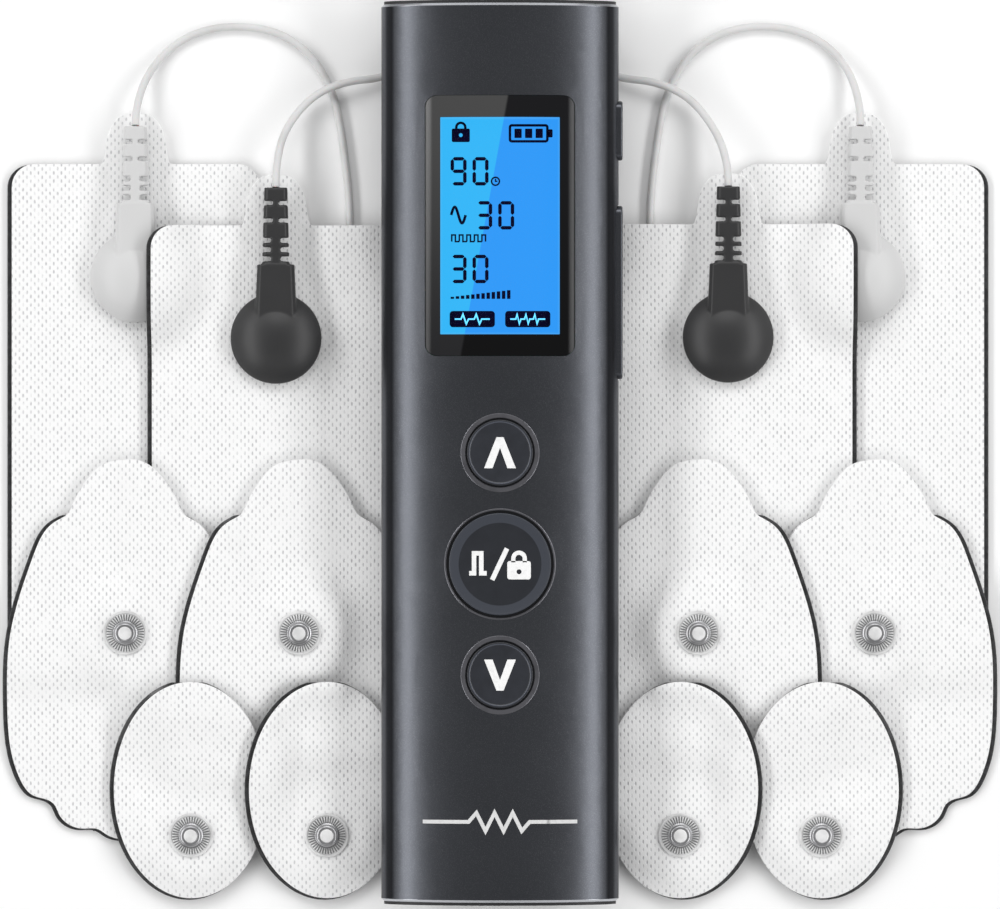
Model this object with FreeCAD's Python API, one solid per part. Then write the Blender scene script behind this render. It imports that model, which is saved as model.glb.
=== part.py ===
import FreeCAD, Part
import math
import os

from FreeCAD import Vector

# TENS unit, laid out flat: an oval controller, two lead sets and twelve electrode pads. Millimetres.
# Origin: floor level under the middle of the controller. +Y towards the display end, +Z up.

# ---- driving dimensions: controller ----
CASE_LENGTH = 150.0
CASE_HALF_WIDTH = 19.75
CASE_HALF_HEIGHT = 7.75
CASE_BACK_FLAT = 0.6
CASE_WALL = 1.2
CASE_LIFT = 1.7
CASE_CHAMFER = 0.4
CAP_PLATE = 0.5
CAP_INSET = 0.45
CAP_SPIGOT = 3.0
SPIGOT_CLEARANCE = 0.05
SLIDE_IN_CLEARANCE = 0.15

WINDOW_WIDTH = 24.8
WINDOW_LENGTH = 43.1
WINDOW_CORNER = 2.0
WINDOW_CENTRE_Y = 37.6
WINDOW_GAP = 0.06
LCD_WIDTH = 22.4
LCD_LENGTH = 39.0
LCD_THICK = 1.6
BACKLIGHT_THICK = 1.0

BOARD_END_GAP = 8.0
BOARD_SIDE_GAP = 3.55
BOARD_THICK = 1.0
BOARD_LEVEL = 0.9
CARRIER_SHELL = 1.0

UP_BUTTON_Y = 0.0
LOCK_BUTTON_Y = -18.45
DOWN_BUTTON_Y = -36.8
SMALL_BEZEL_RADIUS = 6.55
SMALL_BEZEL_BORE = 5.75
SMALL_CAP_CLEARANCE = 0.25
SMALL_DISH_MARGIN = 0.5
SMALL_DISH_DEPTH = 0.3
LOCK_BEZEL_RADIUS = 9.25
LOCK_BEZEL_BORE = 8.9
LOCK_CAP_CLEARANCE = 0.4
LOCK_DISH_MARGIN = 1.65
LOCK_DISH_DEPTH = 0.2
BEZEL_PROUD = 0.08
BUTTON_TRAVEL = 0.4
BUTTON_FLANGE = 0.5
BUTTON_GAP = 0.1
STEM_RADIUS = 2.0
STEM_GUIDE_CLEARANCE = 0.08
GUIDE_THICK = 0.8
TACT_HEIGHT = 1.0
TACT_SIZE = 4.5

SIDE_BUTTON_HALF_HEIGHT = 1.45
SIDE_BUTTON_PROUD = 0.65
SIDE_BUTTON_GAP = 0.15
SIDE_TRAVEL = 0.4
POWER_LENGTH = 9.9
POWER_CENTRE_Y = 53.55
ROCKER_LENGTH = 28.8
ROCKER_CENTRE_Y = 26.65
ROCKER_END_GAP = 0.25
ROCKER_PIN_RADIUS = 0.5
ROCKER_PIN_CLEARANCE = 0.05
ROCKER_PIN_DEPTH = 2.85
SIDE_SWITCH_DEPTH = 4.15
POWER_BAR_DEPTH = 2.65
ROCKER_BAR_DEPTH = 2.05
BRACKET_DEPTH = 6.55
BRACKET_WEB = 1.0

BATTERY_WIDTH = 25.0
BATTERY_LENGTH = 48.0
BATTERY_THICK = 4.4
BATTERY_CENTRE_Y = -36.0

SCREW_X = 12.6
SCREW_HEAD_RADIUS = 1.9
SCREW_SHANK_RADIUS = 1.0
SCREW_LENGTH = 7.0
JACK_X = 7.0
JACK_DROP = 1.8
JACK_BORE = 1.3
JACK_DEPTH = 12.0
USB_WIDTH = 9.0
USB_HEIGHT = 3.2

# ---- driving dimensions: leads ----
PLUG_PIN_CLEARANCE = 0.05
PLUG_PIN_LENGTH = 11.0
PLUG_BOOT_RADIUS = 3.1
PLUG_BOOT_LENGTH = 13.0
PLUG_RELIEF_LENGTH = 8.9
TRUNK_DIAMETER = 2.2
WIRE_DIAMETER = 1.3
COIL_X = 36.0
COIL_BEYOND_END = 26.5
COIL_MIDDLE_RADIUS = 12.5
COIL_WIDTH = 3 * TRUNK_DIAMETER + 0.4
COIL_HEIGHT = 4 * TRUNK_DIAMETER
SPLITTER_LENGTH = 9.0
SPLITTER_WIDTH = 4.6
SPLITTER_HEIGHT = 3.4

HEAD_RADIUS = 7.6
HEAD_RIM = 1.0
HEAD_HEIGHT = 4.4
HEAD_RIDE = 0.1
SOCKET_RADIUS = 2.7
SOCKET_HEIGHT = 2.6
SOCKET_CLEARANCE = 0.06
BLOCK_END = 12.3
BLOCK_WIDTH_INNER = 6.8
BLOCK_WIDTH_OUTER = 6.2
BLOCK_HEIGHT = 3.4
RELIEF_END = 25.1
RELIEF_WIDTH_INNER = 4.6
RELIEF_WIDTH_OUTER = 3.8
RELIEF_HEIGHT = 2.8
RELIEF_LIFT = 0.5
RELIEF_SPINE = 0.85

# ---- driving dimensions: pads ----
GEL_THICK = 0.75
COVER_THICK = 0.4
PAD_BOND = 0.05
PAD_STACK = GEL_THICK + PAD_BOND + COVER_THICK
LAYER_GAP = 0.3
FLOOR_GAP = 0.08
GEL_MARGIN = 0.3
GEL_SHIFT = 0.45
GEL_TOP_DROP = 0.4

BIG_WIDTH = 41.6
BIG_LENGTH = 83.0
BIG_CORNER = 3.8
BIG_TAB = 8.5
BIG_STUD_DROP = 18.9
MID_WIDTH = 39.8
MID_LENGTH = 63.6
MID_TAB = 9.3
MID_STUD_DROP = 29.0
SMALL_WIDTH = 25.9
SMALL_LENGTH = 36.3
SMALL_TAB = 0.1
SMALL_STUD_DROP = 25.7
STUD_FLANGE_RADIUS = 3.7
STUD_FLANGE_THICK = 0.35
STUD_BOSS_RADIUS = 1.9
STUD_BOSS_HEIGHT = 2.0

# Pads from the bottom of the pile to its top: name, kind, centre x, top edge y of the body, outer side
PADS = [
    ("back_large_left", "large", -60.9, 48.3, -1),
    ("back_large_right", "large", 60.2, 48.3, 1),
    ("front_large_left", "large", -37.4, 38.0, -1),
    ("front_large_right", "large", 38.1, 38.2, 1),
    ("back_butterfly_left", "butterfly", -62.55, -1.1, -1),
    ("back_butterfly_right", "butterfly", 62.55, -1.1, 1),
    ("front_butterfly_left", "butterfly", -33.5, -1.1, -1),
    ("front_butterfly_right", "butterfly", 33.1, -1.1, 1),
    ("back_oval_left", "oval", -51.6, -38.2, -1),
    ("back_oval_right", "oval", 53.7, -38.2, 1),
    ("front_oval_left", "oval", -28.9, -38.2, -1),
    ("front_oval_right", "oval", 30.1, -38.2, 1),
]
# Connectors: name, the pad whose stud they grip
CONNECTORS = [
    ("left_white", "back_large_left"),
    ("right_white", "back_large_right"),
    ("left_black", "front_large_left"),
    ("right_black", "front_large_right"),
]
STUD_DROP = {"large": BIG_STUD_DROP, "butterfly": MID_STUD_DROP, "oval": SMALL_STUD_DROP}

# ---- worked-out levels ----
MID_Z = CASE_LIFT + CASE_HALF_HEIGHT - CASE_BACK_FLAT
TUBE_END = CASE_LENGTH / 2 - CAP_PLATE
IN_HALF_HEIGHT = CASE_HALF_HEIGHT - CASE_WALL
BOARD_Z = MID_Z + BOARD_LEVEL
BOARD_TOP = BOARD_Z + BOARD_THICK
TACT_TOP = BOARD_TOP + TACT_HEIGHT
STEM_END = TACT_TOP + BUTTON_TRAVEL + BUTTON_GAP
CASE_TOP = MID_Z + CASE_HALF_HEIGHT
BEZEL_TOP = CASE_TOP + BEZEL_PROUD
FLANGE_TOP = MID_Z + IN_HALF_HEIGHT - 1.1
FLANGE_BOTTOM = FLANGE_TOP - BUTTON_FLANGE
GUIDE_TOP = FLANGE_BOTTOM - BUTTON_TRAVEL - BUTTON_GAP
BEZEL_BOTTOM = FLANGE_TOP + 0.05
HEAD_LIFT = STUD_FLANGE_THICK + HEAD_RIDE
JACK_Z = MID_Z - JACK_DROP
OUT_Y = CASE_LENGTH / 2
BOARD_LENGTH = CASE_LENGTH - 2 * BOARD_END_GAP
BOARD_HALF_WIDTH = CASE_HALF_WIDTH - BOARD_SIDE_GAP
SMALL_CAP_RADIUS = SMALL_BEZEL_BORE - SMALL_CAP_CLEARANCE
LOCK_CAP_RADIUS = LOCK_BEZEL_BORE - LOCK_CAP_CLEARANCE
ROCKER_PIN_X = CASE_HALF_WIDTH - ROCKER_PIN_DEPTH
SIDE_SWITCH_FACE_X = CASE_HALF_WIDTH - SIDE_SWITCH_DEPTH
PLUG_PIN_RADIUS = JACK_BORE - PLUG_PIN_CLEARANCE
ROUTES_END_Y = 75.0
LEAD_SHIFT = OUT_Y - ROUTES_END_Y


def export(name, shape):
    """Write one node."""
    shape.exportStep("parts/%s.step" % name)


def box(x0, x1, y0, y1, z0, z1):
    return Part.makeBox(x1 - x0, y1 - y0, z1 - z0, Vector(x0, y0, z0))


def rod(radius, x, y, z0, z1):
    """Upright cylinder."""
    return Part.makeCylinder(radius, z1 - z0, Vector(x, y, z0))


def long_rod(radius, x, y0, y1, z):
    """Cylinder along Y."""
    return Part.makeCylinder(radius, y1 - y0, Vector(x, y0, z), Vector(0, 1, 0))


def group(shapes):
    """Separate solids in one node."""
    return Part.makeCompound([s for shape in shapes for s in shape.Solids])


def oval_bar(half_width, half_height, flat, y0, y1):
    """Solid oval bar along Y with its underside cut flat, on the controller's axis."""
    centre = Vector(0, y0, MID_Z)
    curve = Part.Ellipse(centre + Vector(half_width, 0, 0), centre + Vector(0, 0, half_height), centre)
    bar = Part.Face(Part.Wire(curve.toShape())).extrude(Vector(0, y1 - y0, 0))
    if flat:
        floor = MID_Z - half_height + flat
        bar = bar.cut(box(-half_width, half_width, y0 - 1, y1 + 1, MID_Z - half_height - 1, floor))
    return bar


def rounded_prism(width, length, corner, cx, cy, z0, z1):
    """Upright prism on a rectangle with rounded corners."""
    prism = box(cx - width / 2, cx + width / 2, cy - length / 2, cy + length / 2, z0, z1)
    upright = [e for e in prism.Edges if abs(e.Vertexes[0].Z - e.Vertexes[-1].Z) > 1e-6]
    return prism.makeFillet(corner, upright)


# ---- controller ----
def oval_case(grow, y0, y1):
    """The case's outer oval, or a smaller one at the same wall all round."""
    return oval_bar(CASE_HALF_WIDTH - grow, CASE_HALF_HEIGHT - grow, CASE_BACK_FLAT, y0, y1)


def side_slot(centre_y, length, end_gap):
    """Opening in the right-hand wall for a side button."""
    half_height = SIDE_BUTTON_HALF_HEIGHT + SIDE_BUTTON_GAP
    y0, y1 = centre_y - length / 2 - end_gap, centre_y + length / 2 + end_gap
    slot = box(ROCKER_PIN_X, CASE_HALF_WIDTH + 2, y0, y1, MID_Z - half_height, MID_Z + half_height)
    along_x = [e for e in slot.Edges if abs(e.Vertexes[0].X - e.Vertexes[-1].X) > 1e-6]
    return slot.makeFillet(half_height * 0.9, along_x)


def window_cut(gap):
    return rounded_prism(
        WINDOW_WIDTH + 2 * gap, WINDOW_LENGTH + 2 * gap, WINDOW_CORNER,
        0, WINDOW_CENTRE_Y, MID_Z, CASE_TOP + 3
    )


def make_housing():
    """Extruded oval tube with chamfered ends and all its openings."""
    tube = oval_case(0, -TUBE_END, TUBE_END)
    rims = [e for e in tube.Edges if abs(e.BoundBox.YMax - e.BoundBox.YMin) < 1e-6]
    tube = tube.makeChamfer(CASE_CHAMFER, rims)
    tube = tube.cut(oval_case(CASE_WALL, -TUBE_END - 1, TUBE_END + 1))
    tube = tube.cut(window_cut(WINDOW_GAP))
    for y in (UP_BUTTON_Y, DOWN_BUTTON_Y):
        tube = tube.cut(rod(SMALL_BEZEL_RADIUS, 0, y, MID_Z, CASE_TOP + 2))
    tube = tube.cut(rod(LOCK_BEZEL_RADIUS, 0, LOCK_BUTTON_Y, MID_Z, CASE_TOP + 2))
    tube = tube.cut(side_slot(POWER_CENTRE_Y, POWER_LENGTH, SIDE_BUTTON_GAP))
    return tube.cut(side_slot(ROCKER_CENTRE_Y, ROCKER_LENGTH, ROCKER_END_GAP))


def end_cap(sign):
    """Cap plate with a spigot that fits inside the tube; sign is +1 for the display end."""
    def span(near, far):
        return (near, far) if sign > 0 else (-far, -near)

    plate = oval_case(CAP_INSET, *span(TUBE_END, OUT_Y))
    spigot = oval_case(CASE_WALL + SPIGOT_CLEARANCE, *span(TUBE_END - CAP_SPIGOT, TUBE_END))
    cap = plate.fuse(spigot).removeSplitter()
    for x in (-SCREW_X, SCREW_X):
        y0, y1 = span(TUBE_END - CAP_SPIGOT - 1, OUT_Y + 1)
        cap = cap.cut(long_rod(SCREW_SHANK_RADIUS + 0.1, x, y0, y1, MID_Z))
        y0, y1 = span(OUT_Y - 1.2, OUT_Y + 1)
        cap = cap.cut(long_rod(SCREW_HEAD_RADIUS + 0.1, x, y0, y1, MID_Z))
    return cap


def make_top_cap():
    cap = end_cap(1)
    for x in (-JACK_X, JACK_X):
        cap = cap.cut(long_rod(JACK_BORE + 0.35, x, TUBE_END - CAP_SPIGOT - 1, OUT_Y + 1, JACK_Z))
    return cap


def usb_bar(grow, y0, y1):
    """Rounded flat bar of the charging port's outline."""
    half_w, half_h = USB_WIDTH / 2 + grow, USB_HEIGHT / 2 + grow
    bar = box(-half_w, half_w, y0, y1, JACK_Z - half_h, JACK_Z + half_h)
    along = [e for e in bar.Edges if abs(e.Vertexes[0].Y - e.Vertexes[-1].Y) > 1e-6]
    return bar.makeFillet(half_h * 0.95, along)


def make_bottom_cap():
    return end_cap(-1).cut(usb_bar(0.1, -OUT_Y - 1, -TUBE_END + CAP_SPIGOT + 1))


def make_charging_port():
    """Metal shell with a tongue inside, open towards -Y."""
    y0 = -OUT_Y + 0.2
    shell = usb_bar(0, y0, y0 + 7.5).cut(usb_bar(-0.3, y0 - 1, y0 + 7.0))
    tongue = box(-3.2, 3.2, y0 + 1.0, y0 + 7.2, JACK_Z - 0.35, JACK_Z + 0.35)
    return shell.fuse(tongue)


def cap_screw(x, sign):
    """Pan-headed screw along Y with a cross recess, its head in the cap's counterbore."""
    y_head = OUT_Y - 0.1
    head = long_rod(SCREW_HEAD_RADIUS, x, y_head - 1.1, y_head, MID_Z)
    shank = long_rod(SCREW_SHANK_RADIUS, x, y_head - SCREW_LENGTH, y_head - 1.0, MID_Z)
    screw = head.fuse(shank)
    for half_x, half_z in ((1.2, 0.25), (0.25, 1.2)):
        slot = box(x - half_x, x + half_x, y_head - 0.6, y_head + 1, MID_Z - half_z, MID_Z + half_z)
        screw = screw.cut(slot)
    if sign < 0:
        screw = screw.mirror(Vector(0, 0, 0), Vector(0, 1, 0))
    return screw


def make_carrier():
    """Moulded cradle that slides into the tube and holds the board, battery and rocker pin."""
    y1 = TUBE_END - CAP_SPIGOT - 0.2
    grow = CASE_WALL + SLIDE_IN_CLEARANCE
    cradle = oval_case(grow, -y1, y1).cut(oval_case(grow + CARRIER_SHELL, -y1 - 1, y1 + 1))
    half_width = CASE_HALF_WIDTH
    cradle = cradle.cut(box(-half_width, half_width, -y1 - 1, y1 + 1, BOARD_Z - 0.1, CASE_TOP + 1))
    posts = []
    for x in (-SCREW_X, SCREW_X):
        for y in (-y1, y1 - 5):
            post = box(x - 1.9, x + 1.9, y, y + 5, MID_Z - 4.6, BOARD_Z - 0.1)
            posts.append(post.common(oval_case(grow + 0.1, y, y + 5)))
    cradle = cradle.fuse(posts)
    for x in (-SCREW_X, SCREW_X):
        cradle = cradle.cut(long_rod(SCREW_SHANK_RADIUS, x, -y1 - 1, -y1 + 6, MID_Z))
        cradle = cradle.cut(long_rod(SCREW_SHANK_RADIUS, x, y1 - 6, y1 + 1, MID_Z))
    for centre, length in ((POWER_CENTRE_Y, POWER_LENGTH), (ROCKER_CENTRE_Y, ROCKER_LENGTH)):
        y0, y2 = centre - length / 2 - 1.2, centre + length / 2 + 1.2
        cradle = cradle.cut(box(half_width / 2, half_width, y0, y2, MID_Z - 2.9, CASE_TOP))
    return cradle.fuse(rocker_bracket()).removeSplitter()


def rocker_bracket():
    """Small forked bracket that stands on the carrier and holds the rocker's pin."""
    y0, y1 = ROCKER_CENTRE_Y - 1.6, ROCKER_CENTRE_Y + 1.6
    x0, x1 = CASE_HALF_WIDTH - BRACKET_DEPTH, ROCKER_PIN_X + ROCKER_PIN_RADIUS + 0.1
    web = box(x0, x0 + BRACKET_WEB, y0, y1, MID_Z - 3.8, MID_Z + 1.9)
    lower = box(x0, x1, y0, y1, MID_Z - 1.9, MID_Z - 1.15)
    upper = box(x0, x1, y0, y1, MID_Z + 1.15, MID_Z + 1.9)
    fork = web.fuse([lower, upper]).common(oval_case(CASE_WALL + 0.1, y0 - 1, y1 + 1))
    return fork.cut(rod(ROCKER_PIN_RADIUS, ROCKER_PIN_X, ROCKER_CENTRE_Y, MID_Z - 3, MID_Z + 3))


def make_board():
    """Main board, notched where the side buttons and the rocker bracket stand."""
    half_length = BOARD_LENGTH / 2
    board = box(-BOARD_HALF_WIDTH, BOARD_HALF_WIDTH, -half_length, half_length, BOARD_Z, BOARD_TOP)
    notch_x, y0, y1 = CASE_HALF_WIDTH - BRACKET_DEPTH - 0.3, ROCKER_CENTRE_Y - 2, ROCKER_CENTRE_Y + 2
    board = board.cut(box(notch_x, BOARD_HALF_WIDTH + 1, y0, y1, BOARD_Z - 1, BOARD_TOP + 1))
    for y in (-half_length + 6, half_length - 6):
        for x in (2 - BOARD_HALF_WIDTH, BOARD_HALF_WIDTH - 2):
            board = board.cut(rod(1.0, x, y, BOARD_Z - 1, BOARD_TOP + 1))
    return board


def make_chips():
    """Packages and passives on both faces of the board."""
    parts = [
        box(-4, 4, 3, 11, BOARD_Z - 1.2, BOARD_Z),
        box(-12, -7, 4, 9, BOARD_Z - 1.0, BOARD_Z),
        box(7, 13, 12, 18, BOARD_Z - 2.2, BOARD_Z),
        box(-13, -9, -3, 1, BOARD_Z - 1.4, BOARD_Z),
        box(-5, 5, -68, -62.5, BOARD_TOP, BOARD_TOP + 1.2),
        box(-13, -10, -60, -55, BOARD_TOP, BOARD_TOP + 1.5),
        box(10, 13, -60, -54, BOARD_TOP, BOARD_TOP + 1.1),
    ]
    for i in range(6):
        y = 22 + 3.0 * i
        parts.append(box(-12, -10.8, y, y + 2, BOARD_Z - 0.6, BOARD_Z))
        parts.append(box(9, 10.2, y, y + 2, BOARD_Z - 0.6, BOARD_Z))
    return group(parts)


def make_transformers():
    """One pulse transformer per output channel, under the board."""
    parts = []
    for x in (-JACK_X, JACK_X):
        core = box(x - 4.6, x + 4.6, 44, 54, BOARD_Z - 4.6, BOARD_Z)
        window = box(x - 3.2, x + 3.2, 43, 55, BOARD_Z - 3.4, BOARD_Z - 1.2)
        coil = box(x - 2.9, x + 2.9, 42.6, 55.4, BOARD_Z - 3.2, BOARD_Z - 1.4)
        parts += [core.cut(window), coil]
    return group(parts)


def make_jacks():
    """Round-bore lead jacks on the underside of the board, mouths at the top cap."""
    parts = []
    y1 = OUT_Y
    room = oval_case(CASE_WALL + SLIDE_IN_CLEARANCE + CARRIER_SHELL + 0.1, -OUT_Y, OUT_Y)
    for x in (-JACK_X, JACK_X):
        body = box(x - 3.2, x + 3.2, y1 - 15, TUBE_END - CAP_SPIGOT - 0.1, JACK_Z - 2.5, BOARD_Z)
        body = body.common(room)
        nose = long_rod(JACK_BORE + 0.3, x, TUBE_END - CAP_SPIGOT - 1, y1, JACK_Z)
        parts.append(body.fuse(nose).cut(long_rod(JACK_BORE, x, y1 - JACK_DEPTH, y1 + 1, JACK_Z)))
    return group(parts)


def make_battery():
    """Flat pouch cell in the carrier under the buttons."""
    top = MID_Z - CASE_HALF_HEIGHT + CASE_BACK_FLAT + CASE_WALL + SLIDE_IN_CLEARANCE + CARRIER_SHELL + 0.15
    cell = box(-BATTERY_WIDTH / 2, BATTERY_WIDTH / 2, BATTERY_CENTRE_Y - BATTERY_LENGTH / 2,
               BATTERY_CENTRE_Y + BATTERY_LENGTH / 2, top, top + BATTERY_THICK)
    grow = CASE_WALL + SLIDE_IN_CLEARANCE + CARRIER_SHELL + 0.15
    return cell.common(oval_case(grow, -OUT_Y, OUT_Y))


def make_window():
    """Arched clear window, flush with the tube."""
    blank = oval_case(0.02, -TUBE_END, TUBE_END).cut(oval_case(CASE_WALL, -OUT_Y, OUT_Y))
    return blank.common(window_cut(0))


def make_lcd():
    z1 = MID_Z + IN_HALF_HEIGHT - 1.7
    return box(-LCD_WIDTH / 2, LCD_WIDTH / 2, WINDOW_CENTRE_Y - LCD_LENGTH / 2,
               WINDOW_CENTRE_Y + LCD_LENGTH / 2, z1 - LCD_THICK, z1)


def make_backlight():
    z1 = MID_Z + IN_HALF_HEIGHT - 1.7 - LCD_THICK
    plate = box(-LCD_WIDTH / 2, LCD_WIDTH / 2, WINDOW_CENTRE_Y - LCD_LENGTH / 2,
                WINDOW_CENTRE_Y + LCD_LENGTH / 2, z1 - BACKLIGHT_THICK, z1)
    feet = [box(x - 1, x + 1, y - 1, y + 1, BOARD_TOP, z1 - BACKLIGHT_THICK)
            for x in (-9, 9) for y in (WINDOW_CENTRE_Y - 17, WINDOW_CENTRE_Y + 17)]
    return plate.fuse(feet).removeSplitter() if z1 - BACKLIGHT_THICK > BOARD_TOP + 0.01 else plate


def button_cap(y, cap_radius, dish_margin, dish_depth):
    """Turned cap: dished or bevelled top, retaining flange under the bezel, stem to the switch."""
    top = BEZEL_TOP - 0.02
    disc = rod(cap_radius, 0, y, FLANGE_BOTTOM, top)
    rim = [e for e in disc.Edges if abs(e.BoundBox.ZMin - top) < 1e-6 and e.Length > 1]
    disc = disc.makeChamfer(0.25, rim)
    dish_radius = cap_radius - dish_margin
    mouth = Vector(0, y, top + 0.01)
    dish = Part.makeCone(dish_radius, dish_radius - 0.5, dish_depth + 0.01, mouth, Vector(0, 0, -1))
    disc = disc.cut(dish)
    flange = rod(cap_radius + 0.55, 0, y, FLANGE_BOTTOM, FLANGE_TOP)
    stem = rod(STEM_RADIUS, 0, y, STEM_END, FLANGE_BOTTOM)
    return disc.fuse([flange, stem]).removeSplitter()


def bezel_ring(y, outer, bore):
    """Turned ring round a key."""
    return rod(outer, 0, y, BEZEL_BOTTOM, BEZEL_TOP).cut(rod(bore, 0, y, BEZEL_BOTTOM - 1, BEZEL_TOP + 1))


def make_button_guide():
    """Plate under the buttons with a bore for each stem, standing on the board."""
    y0, y1 = DOWN_BUTTON_Y - 8.5, UP_BUTTON_Y + 8.5
    guide = box(-11.5, 11.5, y0, y1, GUIDE_TOP - GUIDE_THICK, GUIDE_TOP)
    feet = [box(x - 1, x + 1, y, y + 2, BOARD_TOP, GUIDE_TOP - GUIDE_THICK)
            for x in (-10, 10) for y in (y0, (y0 + y1) / 2 - 1, y1 - 2)]
    guide = guide.fuse(feet)
    for y in (UP_BUTTON_Y, LOCK_BUTTON_Y, DOWN_BUTTON_Y):
        guide = guide.cut(rod(STEM_RADIUS + STEM_GUIDE_CLEARANCE, 0, y, GUIDE_TOP - 3, GUIDE_TOP + 1))
    return guide.removeSplitter()


def make_switches():
    """Tact switches: three on top of the board, three at its right-hand edge."""
    parts = []
    half = TACT_SIZE / 2
    for y in (UP_BUTTON_Y, LOCK_BUTTON_Y, DOWN_BUTTON_Y):
        base = box(-half, half, y - half, y + half, BOARD_TOP, TACT_TOP - 0.3)
        parts.append(base.fuse(rod(1.2, 0, y, BOARD_TOP, TACT_TOP)))
    for y in (POWER_CENTRE_Y, ROCKER_CENTRE_Y - 12, ROCKER_CENTRE_Y + 12):
        x = SIDE_SWITCH_FACE_X
        base = box(x - 2.6, x - 0.5, y - 1.9, y + 1.9, BOARD_Z - 2.0, BOARD_Z)
        parts.append(base.fuse(box(x - 1.6, x, y - 0.8, y + 0.8, BOARD_Z - 1.6, BOARD_Z - 0.3)))
    return group(parts)


def side_bar(centre_y, length, inner_x):
    """Bar of a side button, its outer corners rounded."""
    outer_x = CASE_HALF_WIDTH + SIDE_BUTTON_PROUD
    half = SIDE_BUTTON_HALF_HEIGHT
    bar = box(inner_x, outer_x, centre_y - length / 2, centre_y + length / 2, MID_Z - half, MID_Z + half)
    along_x = [e for e in bar.Edges if abs(e.Vertexes[0].X - e.Vertexes[-1].X) > 1e-6]
    bar = bar.makeFillet(half * 0.9, along_x)
    face = [e for e in bar.Edges
            if abs(e.BoundBox.XMin - outer_x) < 1e-6 and abs(e.BoundBox.XMax - outer_x) < 1e-6]
    return bar.makeFillet(0.35, face)


def make_power_button():
    inner_x = CASE_HALF_WIDTH - POWER_BAR_DEPTH
    bar = side_bar(POWER_CENTRE_Y, POWER_LENGTH, inner_x)
    nub_x = SIDE_SWITCH_FACE_X + SIDE_TRAVEL + BUTTON_GAP
    nub = box(nub_x, inner_x + 0.1, POWER_CENTRE_Y - 1, POWER_CENTRE_Y + 1, MID_Z - 0.9, MID_Z + 0.5)
    return bar.fuse(nub).removeSplitter()


def make_rocker():
    """Long side key that tilts about an upright pin behind its middle."""
    inner_x = CASE_HALF_WIDTH - ROCKER_BAR_DEPTH
    bar = side_bar(ROCKER_CENTRE_Y, ROCKER_LENGTH, inner_x)
    y = ROCKER_CENTRE_Y
    ear = box(ROCKER_PIN_X, inner_x + 0.1, y - 1.1, y + 1.1, MID_Z - 1.0, MID_Z + 1.0)
    knuckle = rod(1.1, ROCKER_PIN_X, y, MID_Z - 1.0, MID_Z + 1.0)
    nub_x = SIDE_SWITCH_FACE_X + 0.75
    nubs = [box(nub_x, inner_x + 0.1, nub_y - 0.8, nub_y + 0.8, MID_Z - 0.7, MID_Z + 0.5)
            for nub_y in (y - 12, y + 12)]
    rocker = bar.fuse([ear, knuckle] + nubs)
    bore = rod(ROCKER_PIN_RADIUS + ROCKER_PIN_CLEARANCE, ROCKER_PIN_X, y, MID_Z - 3, MID_Z + 3)
    return rocker.cut(bore).removeSplitter()


# ---- draping ----
GRID = 1.5
FLAT_REACH = 2.3
SLOPE_REACH = 7.5
POLE_STEP = 2


def falloff(distance):
    """One up to the flat reach, then an S-curve down to nought at the slope reach."""
    if distance <= FLAT_REACH:
        return 1.0
    if distance >= SLOPE_REACH:
        return 0.0
    return 0.5 * (1 + math.cos(math.pi * (distance - FLAT_REACH) / (SLOPE_REACH - FLAT_REACH)))


REACH_CELLS = int(SLOPE_REACH / GRID) + 1
KERNEL = [(i, j, falloff(GRID * math.hypot(i, j)))
          for i in range(-REACH_CELLS, REACH_CELLS + 1) for j in range(-REACH_CELLS, REACH_CELLS + 1)
          if falloff(GRID * math.hypot(i, j)) > 0]
pile = {}


def cell(value):
    return int(round(value / GRID))


def raise_pile(i, j, top):
    pile[(i, j)] = max(pile.get((i, j), 0.0), top)


def inside(polygon, x, y):
    """Whether a point lies in a polygon given as (x, y) pairs."""
    hit = False
    for (xa, ya), (xb, yb) in zip(polygon, polygon[1:] + polygon[:1]):
        if (ya > y) != (yb > y) and x < xa + (y - ya) * (xb - xa) / (yb - ya):
            hit = not hit
    return hit


def add_route_to_pile(points, radius):
    """Raise the pile along a wire that other pieces lie over."""
    for a, b in zip(points, points[1:]):
        steps = max(1, int((b - a).Length / 0.7))
        for k in range(steps + 1):
            p = a + (b - a) * (k / steps)
            raise_pile(cell(p.x), cell(p.y), p.z + radius)


def add_connector_to_pile(place):
    """Raise the pile over a connector's head and block."""
    x, y, base = place.x, place.y, place.z + HEAD_LIFT
    reach = cell(HEAD_RADIUS) + 1
    for i in range(cell(x) - reach, cell(x) + reach + 1):
        for j in range(cell(y) - reach, cell(y) + reach + 1):
            r = math.hypot(i * GRID - x, j * GRID - y)
            if r <= HEAD_RADIUS + 0.3:
                share = min(r, HEAD_RADIUS) / HEAD_RADIUS
                raise_pile(i, j, base + HEAD_RIM + (HEAD_HEIGHT - HEAD_RIM) * math.sqrt(1 - share ** 2))
    for j in range(cell(y), cell(y + BLOCK_END) + 1):
        for i in range(cell(x - BLOCK_WIDTH_INNER / 2), cell(x + BLOCK_WIDTH_INNER / 2) + 1):
            raise_pile(i, j, base + BLOCK_HEIGHT + 0.2)


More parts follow.
